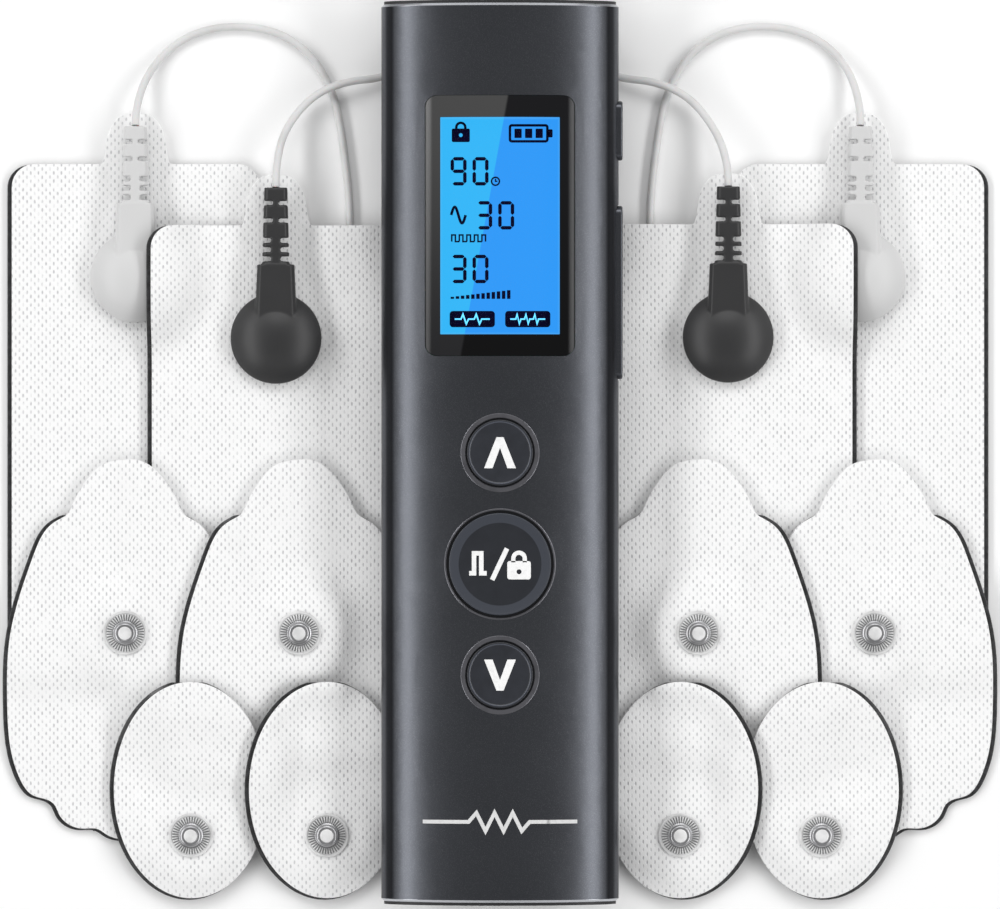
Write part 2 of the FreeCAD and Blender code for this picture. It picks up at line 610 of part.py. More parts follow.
def drape(outline, stud):
    """Heights under a pad at the grid nodes around it, as {(i, j): z}, flat about its stud."""
    bounds = outline.BoundBox
    heights = {}
    for i in range(cell(bounds.XMin) - 4, cell(bounds.XMax) + 5):
        for j in range(cell(bounds.YMin) - 4, cell(bounds.YMax) + 5):
            z = FLOOR_GAP
            for di, dj, share in KERNEL:
                below = pile.get((i + di, j + dj), 0.0)
                if below:
                    z = max(z, (below + LAYER_GAP) * share)
            heights[(i, j)] = z
    flat = STUD_FLANGE_RADIUS + 3.2
    level = max(z for (i, j), z in heights.items()
                if math.hypot(i * GRID - stud.x, j * GRID - stud.y) < flat)
    for (i, j), z in heights.items():
        away = math.hypot(i * GRID - stud.x, j * GRID - stud.y) - flat + FLAT_REACH
        heights[(i, j)] = max(z, level * falloff(away))
    return heights, level


def draped_surface(heights, lift):
    """Smooth sheet through every second grid height, as a control net."""
    columns = sorted({i for i, _ in heights})[::POLE_STEP]
    rows = sorted({j for _, j in heights})[::POLE_STEP]
    poles = [[Vector(i * GRID, j * GRID, heights[(i, j)] + lift) for j in rows] for i in columns]
    sheet = Part.BSplineSurface()

    def knots(count):
        inner = count - 4
        return [4] + [1] * inner + [4], [float(k) for k in range(inner + 2)]

    u_mults, u_knots = knots(len(columns))
    v_mults, v_knots = knots(len(rows))
    sheet.buildFromPolesMultsKnots(poles, u_mults, v_mults, u_knots, v_knots, False, False, 3, 3)
    return sheet.toShape()


def flat_slab(lift, thick, outline):
    """Sheet that lies flat on the floor, cut to an outline."""
    sheet = Part.Face(outline).extrude(Vector(0, 0, thick))
    sheet.translate(Vector(0, 0, lift))
    return sheet


def slab(heights, lift, thick, outline):
    """Sheet of the given thickness cut to an outline."""
    blank = draped_surface(heights, lift).extrude(Vector(0, 0, thick))
    face = Part.Face(outline)
    prism = face.extrude(Vector(0, 0, 60))
    prism.translate(Vector(0, 0, -20))
    return blank.common(prism)


# ---- pad outlines, local: body's top edge at y = 0, centre at x = 0 ----
def line(a, b):
    return Part.LineSegment(Vector(*a, 0), Vector(*b, 0)).toShape()


def arc(a, b, c):
    return Part.Arc(Vector(*a, 0), Vector(*b, 0), Vector(*c, 0)).toShape()


def large_outline(tab):
    """Rounded rectangle, with a bell-shaped tab on its top edge."""
    w, length, r = BIG_WIDTH / 2, BIG_LENGTH, BIG_CORNER
    k = r * (1 - math.sqrt(0.5))
    edges = [
        line((-w, -r), (-w, r - length)),
        arc((-w, r - length), (-w + k, k - length), (r - w, -length)),
        line((r - w, -length), (w - r, -length)),
        arc((w - r, -length), (w - k, k - length), (w, r - length)),
        line((w, r - length), (w, -r)),
        arc((w, -r), (w - k, -k), (w - r, 0)),
    ]
    if tab:
        half = [(5.7, 0.0), (5.1, 2.6), (4.8, 4.5), (3.8, 6.8), (2.6, 8.0), (0.0, BIG_TAB)]
        points = half + [(-x, y) for x, y in reversed(half[:-1])]
        bell = Part.BSplineCurve()
        bell.interpolate([Vector(x, y, 0) for x, y in points])
        edges += [line((w - r, 0), half[0]), bell.toShape(), line(points[-1], (r - w, 0))]
    else:
        edges.append(line((w - r, 0), (r - w, 0)))
    edges.append(arc((r - w, 0), (k - w, -k), (-w, -r)))
    return Part.Wire(Part.__sortEdges__(edges))


def butterfly_outline():
    """Closed smooth outline: tab lobe, two wings and a small lower lobe, with notches between."""
    across, down = MID_WIDTH / 39.8, MID_LENGTH / 63.6
    half = [(4.1, 1.0), (7.1, 4.3), (8.8, 7.3), (9.8, 9.2), (11.1, 10.0), (12.6, 11.0), (15.5, 16.2),
            (18.0, 23.6), (19.3, 29.1), (19.9, 36.5), (19.9, 41.5), (19.5, 47.5), (18.0, 53.0),
            (15.5, 56.3), (12.9, 57.1), (12.0, 57.8), (11.3, 59.3), (9.8, 61.0), (7.3, 61.8),
            (4.7, 61.9), (3.3, 62.8)]
    right = [(x * across, -y * down) for x, y in half]
    points = [(0, 0)] + right + [(0, -MID_LENGTH)] + [(-x, y) for x, y in reversed(right)]
    curve = Part.BSplineCurve()
    curve.interpolate([Vector(x, y, 0) for x, y in points], PeriodicFlag=True)
    return Part.Wire(curve.toShape())


def oval_outline():
    centre = Vector(0, -SMALL_LENGTH / 2, 0)
    along, across = Vector(0, SMALL_LENGTH / 2, 0), Vector(SMALL_WIDTH / 2, 0, 0)
    curve = Part.Ellipse(centre + along, centre + across, centre)
    return Part.Wire(curve.toShape())


def placed(wire, x, y):
    moved = wire.copy()
    moved.translate(Vector(x, y, 0))
    return moved


def gel_outline(kind, cx, top_y, side):
    """Gel layer's outline: the body without its tab, a little larger and set off to the outer side."""
    drop = 0.0
    if kind == "large":
        base, cut_y, middle = large_outline(False), None, -BIG_LENGTH / 2
        drop = GEL_TOP_DROP
    elif kind == "butterfly":
        base, cut_y, middle = butterfly_outline(), -MID_TAB, -MID_LENGTH / 2
    else:
        base, cut_y, middle = oval_outline(), -SMALL_TAB, -SMALL_LENGTH / 2
    bounds = base.BoundBox
    matrix = FreeCAD.Matrix()
    matrix.move(Vector(0, -middle, 0))
    matrix.scale(Vector(1 + 2 * GEL_MARGIN / bounds.XLength, 1 + 2 * GEL_MARGIN / bounds.YLength, 1))
    matrix.move(Vector(0, middle, 0))
    face = Part.Face(base).transformGeometry(matrix).Faces[0]
    if cut_y is not None:
        reach = bounds.XLength
        keep = Part.makePlane(2 * reach, 2 * reach, Vector(-reach, cut_y - 2 * reach, 0))
        face = face.common(keep).Faces[0]
    return placed(face.OuterWire, cx + side * GEL_SHIFT, top_y - drop)


def cover_outline(kind, cx, top_y):
    if kind == "large":
        wire = large_outline(True)
    elif kind == "butterfly":
        wire = butterfly_outline()
    else:
        wire = oval_outline()
    return placed(wire, cx, top_y)


def snap_stud(x, y, z):
    """Flanged snap stud standing on a cover."""
    flange = rod(STUD_FLANGE_RADIUS, x, y, z, z + STUD_FLANGE_THICK)
    boss = rod(STUD_BOSS_RADIUS, x, y, z, z + STUD_FLANGE_THICK + STUD_BOSS_HEIGHT)
    rim = [e for e in boss.Edges if abs(e.BoundBox.ZMin - boss.BoundBox.ZMax) < 1e-6 and e.Length > 1]
    boss = boss.makeFillet(0.6, rim)
    return flange.fuse(boss).removeSplitter()


# ---- connectors ----
def lofted_block(y0, y1, w0, w1, z0, z1, bevel):
    """Bar along Y whose width tapers and whose upper edges are bevelled."""
    def section(y, w):
        half = w / 2
        points = [(-half, z0), (half, z0), (half, z1 - bevel), (half - bevel, z1),
                  (bevel - half, z1), (-half, z1 - bevel)]
        return Part.makePolygon([Vector(x, y, z) for x, z in points + points[:1]])

    return Part.makeLoft([section(y0, w0), section(y1, w1)], True, True)


def make_connector(place):
    """Domed snap head with a tapered block and a ribbed strain relief pointing to +Y."""
    z0 = place.z + HEAD_LIFT
    rim_z = z0 + HEAD_RIM
    rise = HEAD_HEIGHT - HEAD_RIM
    ball = (HEAD_RADIUS ** 2 + rise ** 2) / (2 * rise)
    side = math.sqrt(ball ** 2 - (HEAD_RADIUS * 0.6) ** 2) - (ball - rise)
    edge, crown = Vector(HEAD_RADIUS, 0, rim_z), rim_z + rise
    shoulder = Vector(HEAD_RADIUS * 0.6, 0, rim_z + side)
    profile = [
        Part.LineSegment(Vector(0, 0, z0), Vector(HEAD_RADIUS - 0.3, 0, z0)),
        Part.LineSegment(Vector(HEAD_RADIUS - 0.3, 0, z0), Vector(HEAD_RADIUS, 0, z0 + 0.3)),
        Part.LineSegment(Vector(HEAD_RADIUS, 0, z0 + 0.3), edge),
        Part.Arc(edge, shoulder, Vector(0, 0, crown)),
        Part.LineSegment(Vector(0, 0, crown), Vector(0, 0, z0)),
    ]
    half = Part.Face(Part.Wire([p.toShape() for p in profile]))
    head = half.revolve(Vector(0, 0, 0), Vector(0, 0, 1), 360)
    block_widths = BLOCK_WIDTH_INNER + 0.3, BLOCK_WIDTH_OUTER
    block = lofted_block(0.5, BLOCK_END, *block_widths, z0 + 0.2, z0 + BLOCK_HEIGHT, 0.6)
    relief_z0, relief_z1 = z0 + RELIEF_LIFT, z0 + RELIEF_LIFT + RELIEF_HEIGHT
    relief_widths = RELIEF_WIDTH_INNER, RELIEF_WIDTH_OUTER
    relief = lofted_block(BLOCK_END - 0.5, RELIEF_END, *relief_widths, relief_z0, relief_z1, 0.5)
    cuts = []
    for start, length, spine in relief_slots():
        for sx in (-1, 1):
            x0, x1 = sorted((sx * spine / 2, sx * RELIEF_WIDTH_INNER))
            cuts.append(box(x0, x1, start, start + length, relief_z0 - 1, relief_z1 + 1))
    relief = relief.cut(Part.makeCompound(cuts))
    body = head.fuse([block, relief]).removeSplitter()
    body = body.cut(rod(SOCKET_RADIUS, 0, 0, z0 - 1, z0 + SOCKET_HEIGHT))
    body.translate(Vector(place.x, place.y, 0))
    return body


def relief_slots():
    """Gaps along the strain relief: (start, length, width of the spine left between)."""
    slots = [(RELIEF_END - 2.9, 0.7, RELIEF_SPINE), (RELIEF_END - 5.8, 0.7, RELIEF_SPINE)]
    slots += [(BLOCK_END + 0.5 + 1.55 * k, 0.85, 1.5) for k in range(3)]
    return slots


def make_socket_ring(place):
    """Metal ring in the head that grips the stud's boss."""
    z0 = place.z + HEAD_LIFT
    ring = rod(SOCKET_RADIUS, place.x, place.y, z0, z0 + SOCKET_HEIGHT)
    bore = rod(STUD_BOSS_RADIUS + SOCKET_CLEARANCE, place.x, place.y, z0 - 1, z0 + SOCKET_HEIGHT - 0.3)
    return ring.cut(bore)


# ---- leads ----
def cord_tube(name, points, diameter):
    """Round tube along straight runs joined by tangent arcs; prints its length and smallest radius."""
    edges = []
    radii = []
    start = points[0]
    for before, corner, after in zip(points, points[1:], points[2:]):
        back, ahead = before - corner, after - corner
        run = min(back.Length, ahead.Length)
        back, ahead = back.normalize(), ahead.normalize()
        half_turn = (math.pi - back.getAngle(ahead)) / 2
        reach = 0.45 * run
        radii.append(reach / math.tan(half_turn))
        entry, leave = corner + back * reach, corner + ahead * reach
        inward = (back + ahead).normalize()
        middle = corner + inward * (radii[-1] / math.cos(half_turn) - radii[-1])
        edges += [Part.LineSegment(start, entry).toShape(), Part.Arc(entry, middle, leave).toShape()]
        start = leave
    edges.append(Part.LineSegment(start, points[-1]).toShape())
    path = Part.Wire(edges)
    along = (points[1] - points[0]).normalize()
    ring = Part.Wire(Part.makeCircle(diameter / 2, points[0], along))
    tube = path.makePipeShell([ring], True, False)
    expected = math.pi * diameter ** 2 / 4 * path.Length
    print("%s: length %.1f, smallest radius %.1f (%.1f diameters), volume ratio %.4f"
          % (name, path.Length, min(radii), min(radii) / diameter, tube.Volume / expected))
    return tube


# Routes of the left side's cords, from the splitter or plug outwards
LEFT_SPLITTER_START = Vector(-24.5, 86.6, 1.75)
LEFT_WHITE_ROUTE = [
    (-15.7, 84.35, 1.75), (-11.2, 82.7, 1.5), (-7.9, 78.3, 0.9), (-7.5, 70.5, 0.72), (-7.9, 58.5, 0.72),
    (-7.4, 46.5, 0.72), (-7.1, 36.5, 0.72), (-7.4, 28.2, 0.72), (-10.7, 23.7, 0.72), (-16.0, 21.9, 0.72),
    (-21.3, 23.7, 0.72), (-24.6, 28.2, 0.72), (-25.15, 35.5, 0.72), (-25.2, 43.2, 0.72), (-26.6, 54.6, 0.72),
    (-28.1, 60.9, 0.72), (-32.0, 67.3, 0.72), (-38.9, 71.3, 0.72), (-49.2, 71.3, 0.72), (-56.7, 67.0, 0.9),
    (-60.9, 59.4, 2.4), (-60.9, 54.66, 3.55),
]
LEFT_BLACK_ROUTE = [
    (-16.3, 82.65, 1.75), (-12.7, 81.2, 1.4), (-10.6, 77.2, 0.9), (-11.0, 71.0, 0.72), (-14.0, 65.6, 0.75),
    (-19.6, 62.6, 1.3), (-25.8, 62.1, 3.1), (-31.7, 59.5, 3.1), (-36.1, 53.9, 3.3), (-37.4, 48.0, 4.6),
    (-37.4, 44.3, 5.05),
]
LEFT_TRUNK_OUT = [
    (-7.0, 97.0, 7.05), (-7.0, 104.0, 7.05), (-10.4, 110.1, 5.4), (-16.5, 113.7, 4.0), (-25.0, 114.0, 3.4),
    (-34.0, 114.0, 3.3),
]
LEFT_TRUNK_BACK = [(-36.0, 89.0, 1.9), (-32.0, 88.7, 1.8), (-28.2, 87.95, 1.75), (-24.5, 86.6, 1.75)]
# The right side lies nearly as a mirror of the left; only the ends at the connectors differ
RIGHT_SHIFTS = {"white": [(60.2, 54.66), (60.3, 59.4)], "black": [(38.1, 44.5), (38.1, 48.2)]}


def vectors(points, sign=1):
    """Route points; those beyond the display end move with it."""
    return [Vector(sign * x, y + (LEAD_SHIFT if y > ROUTES_END_Y else 0), z) for x, y, z in points]


def wire_route(side, colour):
    """Route of one lead wire, splitter first."""
    base = LEFT_WHITE_ROUTE if colour == "white" else LEFT_BLACK_ROUTE
    if side == "left":
        return vectors(base)
    route = vectors(base, -1)
    for back, (x, y) in enumerate(RIGHT_SHIFTS[colour], start=1):
        route[-back].x, route[-back].y = x, y
    return route


def make_splitter(sign):
    """Moulded collar where the trunk divides into two wires."""
    direction = Vector(0.94 * sign, -0.342, 0)
    top_z = 0.05 + SPLITTER_HEIGHT
    body = rounded_prism(SPLITTER_LENGTH, SPLITTER_WIDTH, 1.2, SPLITTER_LENGTH / 2, 0, 0.05, top_z)
    top = [e for e in body.Edges if abs(e.BoundBox.ZMin - top_z) < 1e-6]
    body = body.makeFillet(0.5, top)
    angle = math.degrees(math.atan2(direction.y, direction.x))
    body.rotate(Vector(0, 0, 0), Vector(0, 0, 1), angle)
    body.translate(Vector(sign * LEFT_SPLITTER_START.x, LEFT_SPLITTER_START.y + LEAD_SHIFT, 0))
    return body


def make_coil(sign):
    """Outer shape of the wound trunk: a ring of rounded section."""
    inner, outer = COIL_MIDDLE_RADIUS - COIL_WIDTH / 2, COIL_MIDDLE_RADIUS + COIL_WIDTH / 2
    ring = rod(outer, 0, 0, 0.05, 0.05 + COIL_HEIGHT).cut(rod(inner, 0, 0, -1, COIL_HEIGHT + 1))
    rims = [e for e in ring.Edges if e.Length > 1 and e.BoundBox.ZLength < 1e-6]
    ring = ring.makeFillet(1.5, rims)
    ring.translate(Vector(sign * COIL_X, OUT_Y + COIL_BEYOND_END, 0))
    return ring


def make_plug_pin(sign):
    x = sign * JACK_X
    pin = long_rod(PLUG_PIN_RADIUS, x, OUT_Y - PLUG_PIN_LENGTH, OUT_Y + 3, JACK_Z)
    tip = [e for e in pin.Edges if e.Length > 1 and e.BoundBox.YMax < OUT_Y - PLUG_PIN_LENGTH + 0.01]
    return pin.makeChamfer(0.5, tip)


def make_plug_boot(sign):
    """Moulded grip with a ribbed tapered relief behind it."""
    x = sign * JACK_X
    y0 = OUT_Y + 0.1
    grip = long_rod(PLUG_BOOT_RADIUS, x, y0, y0 + PLUG_BOOT_LENGTH, JACK_Z)
    ends = [e for e in grip.Edges if e.Length > 1 and e.BoundBox.YLength < 1e-6]
    grip = grip.makeFillet(0.5, ends)
    y1 = y0 + PLUG_BOOT_LENGTH
    cone = Part.makeCone(2.1, 1.5, PLUG_RELIEF_LENGTH, Vector(x, y1, JACK_Z), Vector(0, 1, 0))
    boot = grip.fuse(cone)
    for k in range(3):
        ring_y = y1 + 2.0 + 2.2 * k
        core = long_rod(1.35, x, ring_y - 1, ring_y + 2, JACK_Z)
        boot = boot.cut(long_rod(4, x, ring_y, ring_y + 0.8, JACK_Z).cut(core))
    boot = boot.cut(long_rod(PLUG_PIN_RADIUS, x, OUT_Y - 1, OUT_Y + 3, JACK_Z))
    return boot.removeSplitter()


def build_controller():
    export("housing_tube", make_housing())
    export("top_end_cap", make_top_cap())
    export("bottom_end_cap", make_bottom_cap())
    export("end_cap_screws", group([cap_screw(x, s) for x in (-SCREW_X, SCREW_X) for s in (-1, 1)]))
    export("inner_carrier", make_carrier())
    pin = rod(ROCKER_PIN_RADIUS, ROCKER_PIN_X, ROCKER_CENTRE_Y, MID_Z - 1.85, MID_Z + 1.85)
    export("rocker_pin", pin)
    export("main_board", make_board())
    export("board_components", make_chips())
    export("pulse_transformers", make_transformers())
    export("lead_jacks", make_jacks())
    export("charging_port", make_charging_port())
    export("battery_cell", make_battery())
    export("buzzer", rod(4.4, 9.0, -2.0, BOARD_Z - 2.8, BOARD_Z))
    export("display_window", make_window())
    export("lcd_panel", make_lcd())
    export("backlight_plate", make_backlight())
    export("button_guide", make_button_guide())
    export("tact_switches", make_switches())
    small = [bezel_ring(y, SMALL_BEZEL_RADIUS, SMALL_BEZEL_BORE) for y in (UP_BUTTON_Y, DOWN_BUTTON_Y)]
    export("button_bezels", group(small + [bezel_ring(LOCK_BUTTON_Y, LOCK_BEZEL_RADIUS, LOCK_BEZEL_BORE)]))
    export("up_button", button_cap(UP_BUTTON_Y, SMALL_CAP_RADIUS, SMALL_DISH_MARGIN, SMALL_DISH_DEPTH))
    export("down_button", button_cap(DOWN_BUTTON_Y, SMALL_CAP_RADIUS, SMALL_DISH_MARGIN, SMALL_DISH_DEPTH))
    export("lock_button", button_cap(LOCK_BUTTON_Y, LOCK_CAP_RADIUS, LOCK_DISH_MARGIN, LOCK_DISH_DEPTH))
    export("power_button", make_power_button())
    export("mode_rocker", make_rocker())


def build_leads():
    for side, sign in (("left", -1), ("right", 1)):
        export(side + "_plug_pin", make_plug_pin(sign))
        export(side + "_plug_boot", make_plug_boot(sign))
        out, back = vectors(LEFT_TRUNK_OUT, -sign), vectors(LEFT_TRUNK_BACK, -sign)
        trunk = [cord_tube(side + " trunk, plug to coil", out, TRUNK_DIAMETER),
                 cord_tube(side + " trunk, coil to splitter", back, TRUNK_DIAMETER)]
        export(side + "_trunk_lead", group(trunk))
        export(side + "_trunk_coil", make_coil(sign))
        export(side + "_splitter", make_splitter(-sign))
        for colour in ("white", "black"):
            route = wire_route(side, colour)
            export("%s_%s_wire" % (side, colour), cord_tube(side + " " + colour, route, WIRE_DIAMETER))


def build_connectors(studs):
    """Snap each lead's connectors on their studs."""
    for name, pad in CONNECTORS:
        export(name + "_connector", make_connector(studs[pad]))
        export(name + "_socket", make_socket_ring(studs[pad]))


def build_pads():
    """Lay the pads one after another on the growing pile; returns where each stud stands."""
    for side in ("left", "right"):
        add_route_to_pile(wire_route(side, "white")[3:14], WIRE_DIAMETER / 2)
    gels, studs, places = [], [], {}
    for name, kind, cx, top_y, side in PADS:
        if name == "front_large_left":
            for _, pad in CONNECTORS[:2]:
                add_connector_to_pile(places[pad])
        outline = cover_outline(kind, cx, top_y)
        stud = Vector(cx, top_y - STUD_DROP[kind], 0)
        if name.startswith("back_large"):
            bounds = outline.BoundBox
            heights = {(i, j): 0.0 for i in range(cell(bounds.XMin) - 4, cell(bounds.XMax) + 5)
                       for j in range(cell(bounds.YMin) - 4, cell(bounds.YMax) + 5)}
            level = 0.0
        else:
            heights, level = drape(outline, stud)
        under = gel_outline(kind, cx, top_y, side)
        if level:
            cover = slab(heights, GEL_THICK + PAD_BOND, COVER_THICK, outline)
            gels.append(slab(heights, 0, GEL_THICK, under))
        else:
            cover = flat_slab(GEL_THICK + PAD_BOND, COVER_THICK, outline)
            gels.append(flat_slab(0, GEL_THICK, under))
        stud.z = level + PAD_STACK
        places[name] = stud
        studs.append(snap_stud(stud.x, stud.y, stud.z))
        export(name + "_pad", cover)
        polygon = [(p.x, p.y) for p in outline.discretize(Number=90)]
        for (i, j), z in heights.items():
            x, y = i * GRID, j * GRID
            if inside(polygon, x - 1.0, y) or inside(polygon, x + 1.0, y):
                raise_pile(i, j, z + PAD_STACK)
        print("%s: stud level %.2f, cover volume %.1f" % (name, stud.z, cover.Volume))
    export("gel_layers", group(gels))
    export("snap_studs", group(studs))
    return places


os.makedirs("parts", exist_ok=True)
build_controller()
build_leads()
build_connectors(build_pads())
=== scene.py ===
import logging
import math
from dataclasses import dataclass, field
from enum import Enum
from typing import Any, Iterable, Mapping, Sequence

import bmesh
import bpy
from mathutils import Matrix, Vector
from mathutils.bvhtree import BVHTree
from mathutils.geometry import delaunay_2d_cdt, tessellate_polygon


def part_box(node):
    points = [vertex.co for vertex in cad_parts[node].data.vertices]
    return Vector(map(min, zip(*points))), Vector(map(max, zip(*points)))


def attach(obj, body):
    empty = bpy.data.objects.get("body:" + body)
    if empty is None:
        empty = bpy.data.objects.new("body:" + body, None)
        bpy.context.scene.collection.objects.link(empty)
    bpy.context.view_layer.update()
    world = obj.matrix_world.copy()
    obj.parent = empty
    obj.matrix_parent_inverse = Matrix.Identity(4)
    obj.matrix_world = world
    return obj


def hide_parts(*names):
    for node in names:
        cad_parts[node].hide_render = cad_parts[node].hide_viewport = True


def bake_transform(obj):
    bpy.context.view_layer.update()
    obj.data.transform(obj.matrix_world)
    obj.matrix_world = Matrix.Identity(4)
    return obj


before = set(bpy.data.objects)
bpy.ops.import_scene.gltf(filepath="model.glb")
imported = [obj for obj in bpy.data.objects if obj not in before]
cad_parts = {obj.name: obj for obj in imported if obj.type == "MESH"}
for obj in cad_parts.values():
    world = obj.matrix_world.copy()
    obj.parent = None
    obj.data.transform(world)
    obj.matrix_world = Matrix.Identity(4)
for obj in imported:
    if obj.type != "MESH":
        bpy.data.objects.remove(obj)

# Looks of a nerve stimulator set: an oval controller, two snap lead sets and twelve electrode pads.
# Sizes in the classes are millimetres; meshes are written in metres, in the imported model's own frame.

log = logging.getLogger("nerve_stimulator")
MM = 0.001
WELD = 1e-7
MITRE_LIMIT = 0.35
SKY = 60.0
DOWN = Vector((0.0, 0.0, -1.0))
TUBE_HALF_WIDTH = 19.75
TUBE_HALF_HEIGHT = 7.75
Colour = tuple[float, float, float, float]
Point2 = tuple[float, float]
Point3 = tuple[float, float, float]


class Side(Enum):
    """Which side of the controller a lead set or pad lies on, with its sign along X."""

    LEFT = -1
    RIGHT = 1

    @property
    def word(self) -> str:
        """The side as it stands in node names."""
        return self.name.lower()


class PadKind(Enum):
    """The three cuts of electrode pad, with the flat size of each cut in millimetres."""

    LARGE = (41.6, 91.5)
    BUTTERFLY = (39.8, 63.6)
    OVAL = (25.9, 36.3)


class LeadColour(Enum):
    """The two connectors at the end of each lead."""

    WHITE = "white"
    BLACK = "black"


def tone(code: str) -> Colour:
    """Linear colour from a six-digit hex code.

    Args:
        code: Red, green and blue as two hex digits each.

    Returns:
        The colour as four linear numbers, the last of them 1.
    """
    steps = [int(code[k:k + 2], 16) / 255 for k in (0, 2, 4)]
    red, green, blue = (s / 12.92 if s <= 0.04045 else ((s + 0.055) / 1.055) ** 2.4 for s in steps)
    return red, green, blue, 1.0


def shade(colour: Colour, factor: float) -> Colour:
    """The same colour with its brightness multiplied."""
    return tuple(c * factor for c in colour[:3]) + (1.0,)


# ---- materials ----
class Signal:
    """A number in a material: arithmetic on it adds the Math nodes."""

    def __init__(self, graph: "Graph", socket: bpy.types.NodeSocket) -> None:
        """Wrap one output socket of a graph."""
        self.graph = graph
        self.socket = socket

    def __add__(self, other: "Signal | float") -> "Signal":
        """Sum."""
        return self.graph.math("ADD", self, other)

    __radd__ = __add__

    def __sub__(self, other: "Signal | float") -> "Signal":
        """Difference."""
        return self.graph.math("SUBTRACT", self, other)

    def __rsub__(self, other: "Signal | float") -> "Signal":
        """Difference from a plain number."""
        return self.graph.math("SUBTRACT", other, self)

    def __mul__(self, other: "Signal | float") -> "Signal":
        """Product."""
        return self.graph.math("MULTIPLY", self, other)

    __rmul__ = __mul__

    def __truediv__(self, other: "Signal | float") -> "Signal":
        """Quotient."""
        return self.graph.math("DIVIDE", self, other)

    def __pow__(self, other: float) -> "Signal":
        """Power."""
        return self.graph.math("POWER", self, other)

    def __abs__(self) -> "Signal":
        """Size without its sign."""
        return self.graph.math("ABSOLUTE", self)

    def fract(self) -> "Signal":
        """The part after the decimal point."""
        return self.graph.math("FRACT", self)

    def floor(self) -> "Signal":
        """The whole number below."""
        return self.graph.math("FLOOR", self)

    def at_least(self, other: "Signal | float") -> "Signal":
        """The larger of two numbers."""
        return self.graph.math("MAXIMUM", self, other)

    def ramp(self, low: float, high: float) -> "Signal":
        """Rise smoothly from nought at low to one at high.

        Args:
            low: Where the rise starts; it may be above high for a fall.
            high: Where the rise ends.

        Returns:
            The share from 0 to 1.
        """
        rising = low < high
        node = self.graph.node(
            "ShaderNodeMapRange",
            {"interpolation_type": "SMOOTHSTEP"},
            {"Value": self, "From Min": min(low, high), "From Max": max(low, high),
             "To Min": 0.0 if rising else 1.0, "To Max": 1.0 if rising else 0.0},
        )
        return Signal(self.graph, node.outputs["Result"])


